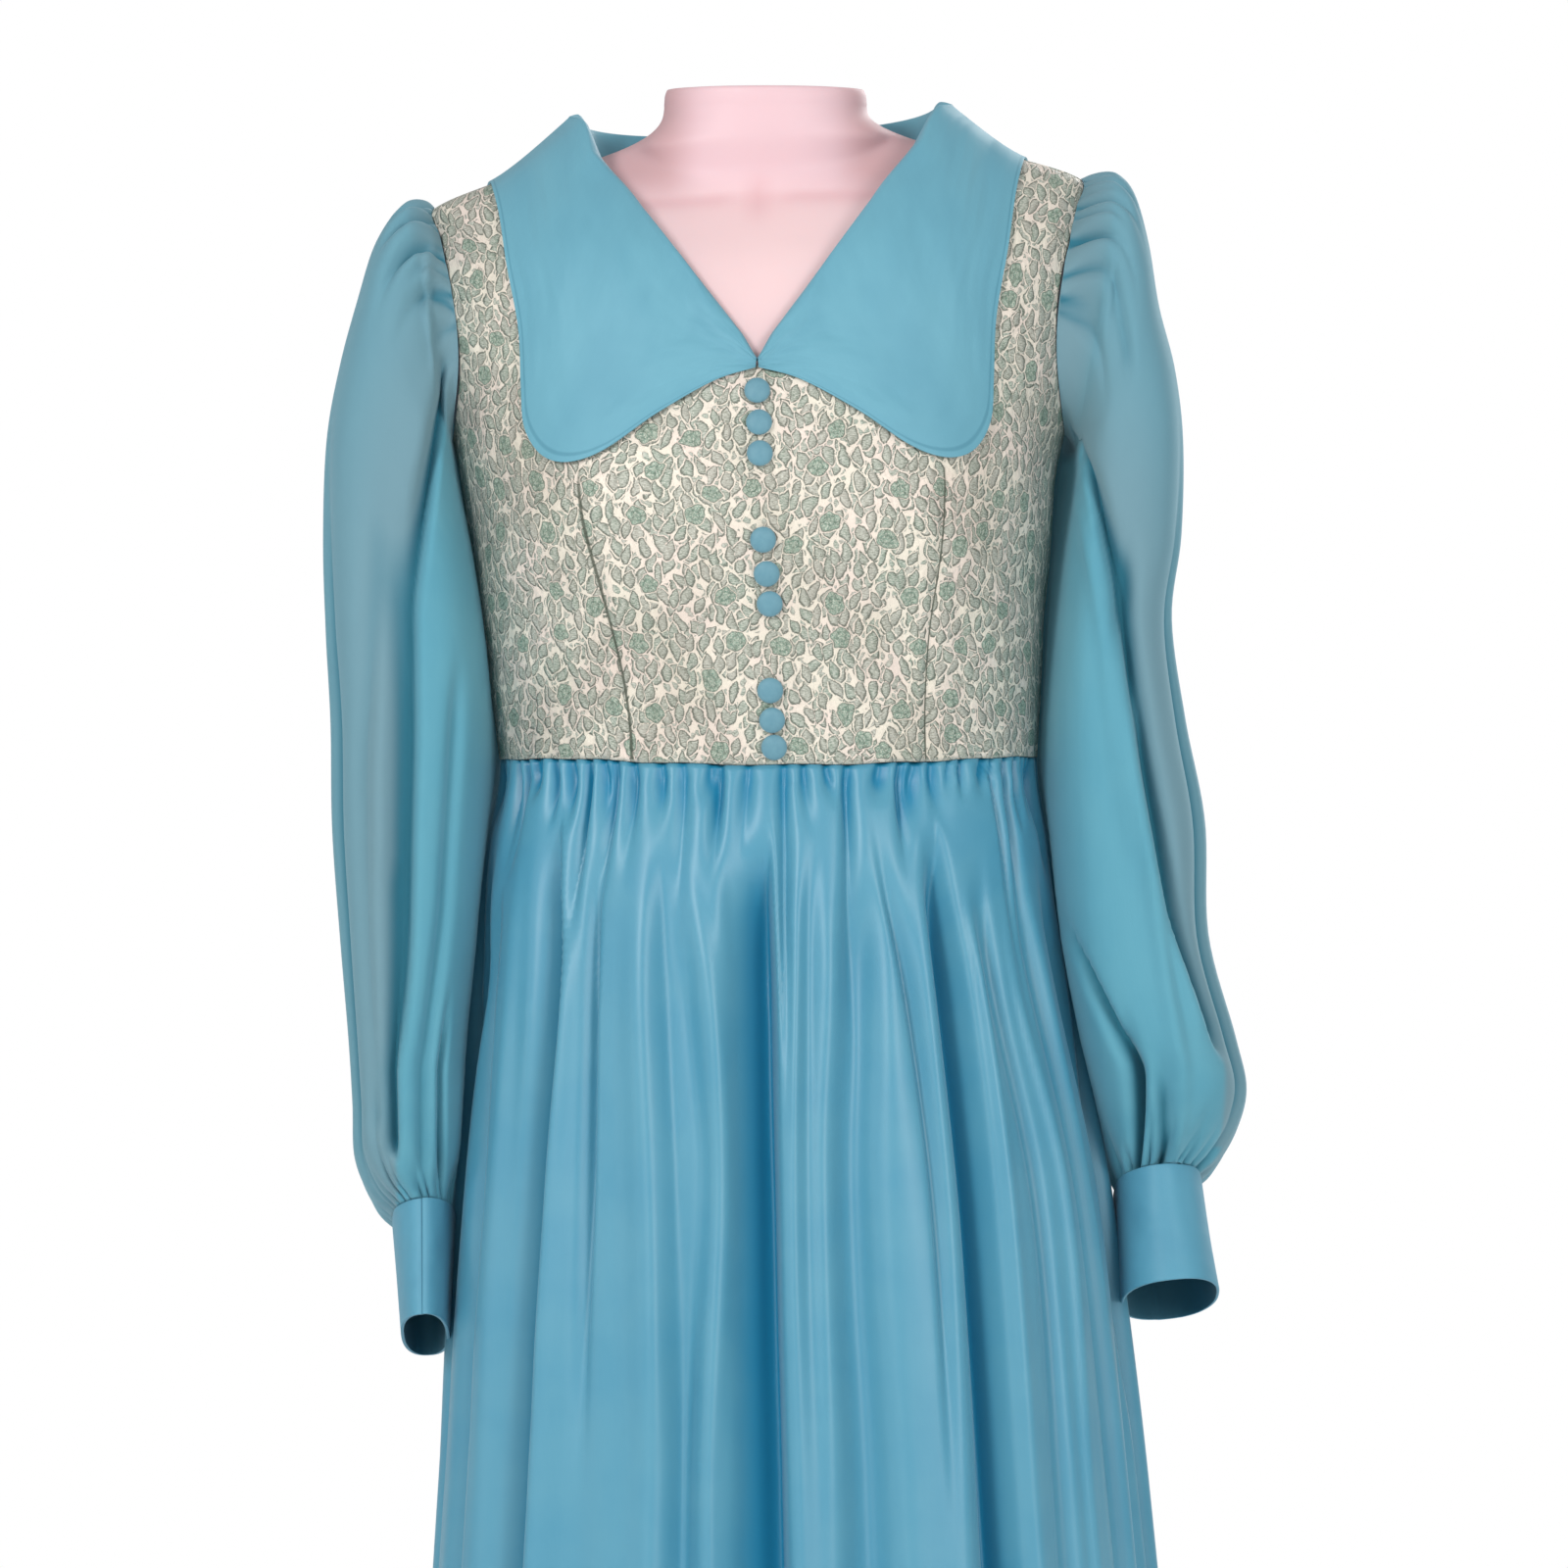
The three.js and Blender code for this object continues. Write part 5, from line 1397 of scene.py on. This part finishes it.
def collar_place(side):
    """Up from the neckline as a stand, over the roll, and down the body to the rounded edge."""
    stand_across = [2.5, 3.0, 1.9, 0.4, -1.2]
    stand_up = [-0.6, 0.55, 0.86, 0.97, 1.0]

    def place(u, v):
        rib = mix(COLLAR["neck"][0], COLLAR["neck"][-1], u)
        angle, h = neckline_at(rib)
        start, normal = on_body(side, angle, h)
        ahead = torso_point(side, *neckline_at(np.minimum(rib + 0.01, 1.975)))
        behind = torso_point(side, *neckline_at(np.maximum(rib - 0.01, 0.002)))
        inward = np.cross(normal, ahead - behind)
        inward /= np.linalg.norm(inward, axis=-1, keepdims=True) * side
        lean = np.where(rib > 1, 0.75 * smooth(rib - 1), 0)[:, None]
        upright = normal * (1 - lean) + np.array([0, 0, 1]) * lean
        upright /= np.linalg.norm(upright, axis=-1, keepdims=True)
        rise = collar_roll(rib)
        top = COLLAR_CLEARANCE + rise
        stand_t = clamp01(v / STAND_SHARE) * 4
        across = np.interp(stand_t, np.arange(5), stand_across)
        above_seam = np.interp(stand_t, np.arange(5), stand_up) * top
        up = np.where(stand_t < 1, mix(stand_up[0], stand_up[1] * top, stand_t), above_seam)
        across = across * mix(0.3, 1, smooth(rib / 0.12))
        stand = start + inward * across[:, None] + upright * up[:, None]
        w = 0.04 + 0.96 * clamp01((v - STAND_SHARE) / (1 - STAND_SHARE))
        edge = sample(COLLAR, "neck", rib)
        neck_x, _ = ring_point(sample(TORSO, "h", h), angle)
        x, fall_h = mix(neck_x, edge["edge_x"], w), mix(h, edge["edge_h"], w)
        fall_angle = np.where(rib < 1, front_angle(x, fall_h), back_angle(x, fall_h))
        puff = 0.9 * np.sin(math.pi * clamp01(w)) + 0.5 * np.sin(rib * 9 + w * 4) * w
        fall, _ = on_body(side, fall_angle, fall_h, COLLAR_CLEARANCE + puff)
        fall = fall + upright * (rise * (1 - w) ** 1.3)[:, None]
        in_stand = v < STAND_SHARE
        points = np.where(in_stand[:, None], stand, fall)
        high = np.where(in_stand, clamp01(up / top), (1 - w) ** 1.3)
        drawn = np.interp(rib, CREST_AT, CREST_INWARD[side])
        points = points + inward * (drawn * high)[:, None]
        return points, None, None

    return place


def make_collar():
    for name, side in SIDES.items():
        columns, rows = finer(180), finer(52)
        half = cloth(f"collar_{name}_half", columns, rows, collar_place(side), 420, 110, flip=side > 0)
        with opened(half.data) as bm:
            ease(bm, bm.verts, 0.3, 2)
        thicken(half, COLLAR_CLOTH)
        round_off(half, 0.45)
        dressed(half, COLLAR_SATIN, "collar_cloth", f"collar_{name}")


# Buttons

BUTTON_RADIUS, BUTTON_DOME, BUTTON_UNDERSIDE = 6.6, 2.9, 1.8
PLEATS_ROUND_BUTTON = 17


def make_buttons():
    for i, (h, x) in enumerate(BUTTONS):
        bm = bmesh.new()
        bmesh.ops.create_uvsphere(bm, u_segments=40, v_segments=24, radius=1)
        for vert in bm.verts:
            around = math.atan2(vert.co.y, vert.co.x)
            high = vert.co.z
            rim = math.exp(-(((high + 0.15) / 0.35) ** 2))
            gathered = 1 + 0.012 * rim * math.sin(around * PLEATS_ROUND_BUTTON + i)
            vert.co.x *= BUTTON_RADIUS * gathered
            vert.co.y *= BUTTON_RADIUS * gathered
            vert.co.z = 1.9 + (BUTTON_DOME if high > 0 else BUTTON_UNDERSIDE) * high
        point, normal = on_body(1, np.array([-90.0]), np.array([h]))
        out = Vector((0, normal[0][1], normal[0][2])).normalized()
        seat = Vector(point[0]) + out * 0.35 + Vector((x, 0, 0))
        spin = Vector((0, 0, 1)).rotation_difference(out).to_matrix().to_4x4()
        spin = spin @ Matrix.Rotation(0.7 * i, 4, "Z")
        placed = Matrix.Scale(MM, 4) @ Matrix.Translation(seat) @ spin
        bmesh.ops.transform(bm, verts=bm.verts, matrix=placed)
        name = f"covered_button_{i + 1}"
        dressed(linked(name, mesh_of(name, bm)), BUTTON_CLOTH, "collar_cloth", f"button_{i + 1}")


def button_cloth():
    finish = Finish("button_cloth")
    place = finish.object_place()
    weave = finish.noise(place, 1500.0, 1)
    colour = finish.blend(finish.noise(place, 300.0, 2), srgb(108, 156, 170), srgb(90, 140, 158))
    finish.sets(Base_Color=colour, Roughness=0.55, Sheen_Weight=0.3, Normal=finish.bump(weave, 0.2, 0.0002))
    return finish.material


BUTTON_CLOTH = button_cloth()


# Zip

TOOTH_PITCH = 1.7
TOOTH_SIZE = (2.3, 1.5, 1.05)
TOOTH_ASIDE = 0.62
SLIDER_H = 288
TAPE_HALF_WIDTH, TAPE_THICKNESS = 2.3, 0.4


def zip_point(h, out=0.0):
    """The middle of the zip at a height, moved outwards."""
    row = sample(SKIRT if h < 0 else TORSO, "h", h)
    x = 0.0 if h < 0 else float(lean_shift(h))
    return Vector((x, float(row["back"]) + out, WAIST_Z + h))


def make_zip():
    top = SLIDER_H - 5.5
    heights = np.arange(ZIP_BOTTOM_H + 3, top, TOOTH_PITCH)
    bm = bmesh.new()
    for k, h in enumerate(heights):
        hand = 1 if k % 2 else -1
        tooth = bmesh.ops.create_cube(bm, size=1)["verts"]
        slope = math.atan2(zip_point(h - 1).y - zip_point(h + 1).y, 2)
        place = Matrix.Translation(zip_point(h, -0.9) + Vector((hand * TOOTH_ASIDE, 0, 0)))
        shape = Matrix.Diagonal((*TOOTH_SIZE, 1))
        bmesh.ops.transform(bm, verts=tooth, matrix=place @ Matrix.Rotation(slope, 4, "X") @ shape)
    rounding = {"offset": 0.28, "segments": 1, "profile": 0.5, "affect": "EDGES", "material": -1}
    bmesh.ops.bevel(bm, geom=list(bm.edges), **rounding)
    bmesh.ops.scale(bm, vec=(MM, MM, MM), verts=bm.verts)
    dressed(linked("zip_coil", mesh_of("zip_coil", bm)), NYLON, "zip_nylon", "zip_teeth")

    def tape_place(u, v):
        h = mix(ZIP_BOTTOM_H - 6, top, v)
        points = np.array([zip_point(float(a), -1.7)[:] for a in h])
        points[:, 0] += mix(-TAPE_HALF_WIDTH, TAPE_HALF_WIDTH, u)
        return points, None, None

    tape = cloth("zip_tape", 4, 90, tape_place, 5, 350, flip=True)
    thicken(tape, TAPE_THICKNESS)
    dressed(tape, NYLON, "zip_nylon")


# Dress form and stand

FORM_INSET, FORM_DROP = 3.9, 2.8
NECK_TOP_H = 344
NECK_SHIFT_X = 4
BASE_PROFILE = [(0, 0), (164.3, 0), (165, 0.7), (165, 6), (161, 9), (24, 15.5), (24, 39), (21, 42), (0, 42)]
POLE_PROFILE = [(0, 42.3), (15, 42.3), (15, 869.7), (0, 869.7)]


def collarbones(x, h):
    """Hollows, in mm, under two faint collarbones and between their inner ends."""
    off = np.abs(x)
    line = 291 - 0.02 * off
    bone = -1.8 * bump_at(h, line + 5, 6) + 1.9 * bump_at(h, line - 4, 4)
    along = smooth((off - 6) / 14) * smooth((86 - off) / 22)
    notch = 2.2 * bump_at(h, 286, 11) * bump_at(x, 1, 8)
    return bone * along + notch


def form_place(u, v):
    """Closed at both ends: the first and last rows shrink to a point."""
    h = np.interp(v, [0, 0.04, 0.34, 0.78, 0.965, 1], [-205, -205, 150, 302, NECK_TOP_H, NECK_TOP_H])
    shrink = np.interp(v, [0, 0.04, 0.965, 1], [0, 1, 1, 0])
    angle = 360 * u
    row = sample(TORSO, "h", np.clip(h, 0, NECK_POINT_H))
    flatness = mix(depth_at(row, angle) / row["half_width"], 0.95, smooth((h - 296) / 34))
    turned = np.radians(angle)
    side = np.where(np.cos(turned) < 0, -1, 1)
    ahead = flatness * rounded(np.sin(turned))
    direction = np.degrees(np.arctan2(ahead, np.abs(rounded(np.cos(turned)))))
    hips = ring_reach(sample(FORM_HIPS, "h", np.minimum(h, 0)), direction)
    chest = torso_reach(direction, clamp01((h + FORM_DROP) / NECK_POINT_H) * NECK_POINT_H) - FORM_INSET
    in_front = smooth((-direction - 30) / 50)
    above = np.maximum(0, h + FORM_DROP - NECK_POINT_H)
    turning = mix(0.5, 16, in_front)
    gone = 3 * np.where(above < turning, above**2 / (2 * turning), above - turning / 2)
    inside = mix(hips, chest, smooth(h / 70)) - gone
    neck = ring_reach(sample(FORM_NECK, "h", h), direction)
    easing = mix(8, 24, in_front)
    both = np.maximum(inside, neck) + np.maximum(easing - np.abs(inside - neck), 0) ** 2 / (4 * easing)
    r = np.where(h > FORM_NECK["h"][0], both, inside) * shrink
    x, y = side * r * np.cos(np.radians(direction)), r * np.sin(np.radians(direction))
    bones = np.where(y < 0, collarbones(x, h), 0) * shrink
    y = y + bones
    points = leaned(x, y, h)
    points[:, 0] += NECK_SHIFT_X * smooth((h - 292) / 34)
    points[:, 2] -= SHOULDER_TILT * x * smooth((h - 318) / 20)
    # the collarbone hollows are carried to the finish for painted shade
    return points, None, None, {"HollowShade": clamp01(bones / 2.2)}


def make_form():
    form = cloth("moulded_form", finer(112), finer(190), form_place, 900, 640, closed=True)
    with opened(form.data) as bm:
        bmesh.ops.remove_doubles(bm, verts=bm.verts, dist=1e-5)
        bmesh.ops.recalc_face_normals(bm, faces=bm.faces)
        below_rim = [vert for vert in bm.verts if vert.co.z < (WAIST_Z + NECK_TOP_H - 8) * MM]
        neck_root = [vert for vert in below_rim if vert.co.z > (WAIST_Z + NECK_TOP_H - 80) * MM]
        ease(bm, below_rim, 0.5, 3)
        ease(bm, neck_root, 0.5, 12)
    dressed(form, SKIN, "form_skin", "form_torso")


def turned_piece(name, node, profile, segments):
    """A round metal piece, spun about the stand's middle from a side view in mm."""
    bm = bmesh.new()
    verts = [bm.verts.new((r * MM, 0, z * MM)) for r, z in profile]
    edges = [bm.edges.new(pair) for pair in zip(verts, verts[1:])]
    middle = {"cent": (0, 0, 0), "axis": (0, 0, 1), "angle": 2 * math.pi}
    bmesh.ops.spin(bm, geom=verts + edges, steps=segments, use_merge=True, **middle)
    bmesh.ops.remove_doubles(bm, verts=bm.verts, dist=1e-6)
    bmesh.ops.recalc_face_normals(bm, faces=bm.faces)
    piece = linked(name, mesh_of(name, bm))
    round_off(piece, 0.8, 3)
    dressed(piece, STAND_METAL, "stand_metal", node)


def make_stand():
    turned_piece("round_base", "stand_base", BASE_PROFILE, 96)
    turned_piece("upright_pole", "stand_pole", POLE_PROFILE, 48)


def finish_zip_metal():
    for node in ("zip_slider", "zip_pull"):
        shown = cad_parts[node]
        shown.data.materials.clear()
        shown.data.materials.append(ZIP_METAL)


# Studio

FRAME_WIDTH = 800
FRAME_MIDDLE = (8, 1062.5)
EYE_LEVEL = 1100
DRESS_PLANE_Y = -40
CAMERA_AWAY = 5200


def make_camera():
    camera = linked("camera", bpy.data.cameras.new("camera"))
    camera.data.sensor_width = 36
    camera.data.lens = 36 * CAMERA_AWAY / FRAME_WIDTH
    camera.data.shift_y = (FRAME_MIDDLE[1] - EYE_LEVEL) / FRAME_WIDTH
    camera.location = Vector((FRAME_MIDDLE[0], DRESS_PLANE_Y - CAMERA_AWAY, EYE_LEVEL)) * MM
    camera.rotation_euler = Euler((math.pi / 2, 0, 0))
    bpy.context.scene.camera = camera


def soft_light(name, place, aim, size, power):
    lamp = bpy.data.lights.new(name, "AREA")
    lamp.shape = "DISK"
    lamp.size = size
    lamp.energy = power
    light = linked(name, lamp)
    light.location = place
    light.rotation_euler = (Vector(aim) - Vector(place)).to_track_quat("-Z", "Y").to_euler()


def make_studio():
    bm = bmesh.new()
    bmesh.ops.create_grid(bm, x_segments=1, y_segments=1, size=7)
    floor = linked("studio_floor", mesh_of("studio_floor", bm))
    finish = Finish("studio_floor")
    place = finish.object_place()
    colour = finish.blend(finish.noise(place, 0.7, 2), srgb(244, 244, 243), srgb(248, 248, 247))
    finish.sets(Base_Color=colour, Roughness=0.9)
    floor.data.materials.append(finish.material)
    bpy.context.scene.world = studio_air()
    soft_light("key_light", (-1.7, -3.0, 2.5), (0, 0, 1.05), 0.9, 56)
    soft_light("fill_light", (1.7, -3.1, 1.9), (0, 0, 1.0), 1.2, 38)
    soft_light("side_light", (-3.0, -1.2, 1.3), (0, 0, 0.9), 0.5, 5)
    soft_light("back_light", (1.4, 2.6, 2.2), (0, 0, 1.1), 1.6, 40)
    bpy.context.scene.view_settings.view_transform = "Standard"


def studio_air():
    """A white backdrop all round, which lights the dress less than it shows."""
    world = bpy.data.worlds.new("studio_air")
    world.use_nodes = True
    nodes, links = world.node_tree.nodes, world.node_tree.links
    shown = nodes["Background"]
    shown.inputs["Color"].default_value = (1, 1, 1, 1)
    shown.inputs["Strength"].default_value = 1.0
    lights = nodes.new("ShaderNodeBackground")
    lights.inputs["Color"].default_value = (0.97, 0.98, 1, 1)
    lights.inputs["Strength"].default_value = 0.48
    path = nodes.new("ShaderNodeLightPath")
    both = nodes.new("ShaderNodeMixShader")
    links.new(path.outputs["Is Camera Ray"], both.inputs[0])
    links.new(lights.outputs[0], both.inputs[1])
    links.new(shown.outputs[0], both.inputs[2])
    links.new(both.outputs[0], nodes["World Output"].inputs["Surface"])
    return world


make_camera()
make_studio()
make_form()
make_stand()
make_bodice()
make_skirt()
make_sleeves()
make_collar()
make_buttons()
make_zip()
finish_zip_metal()
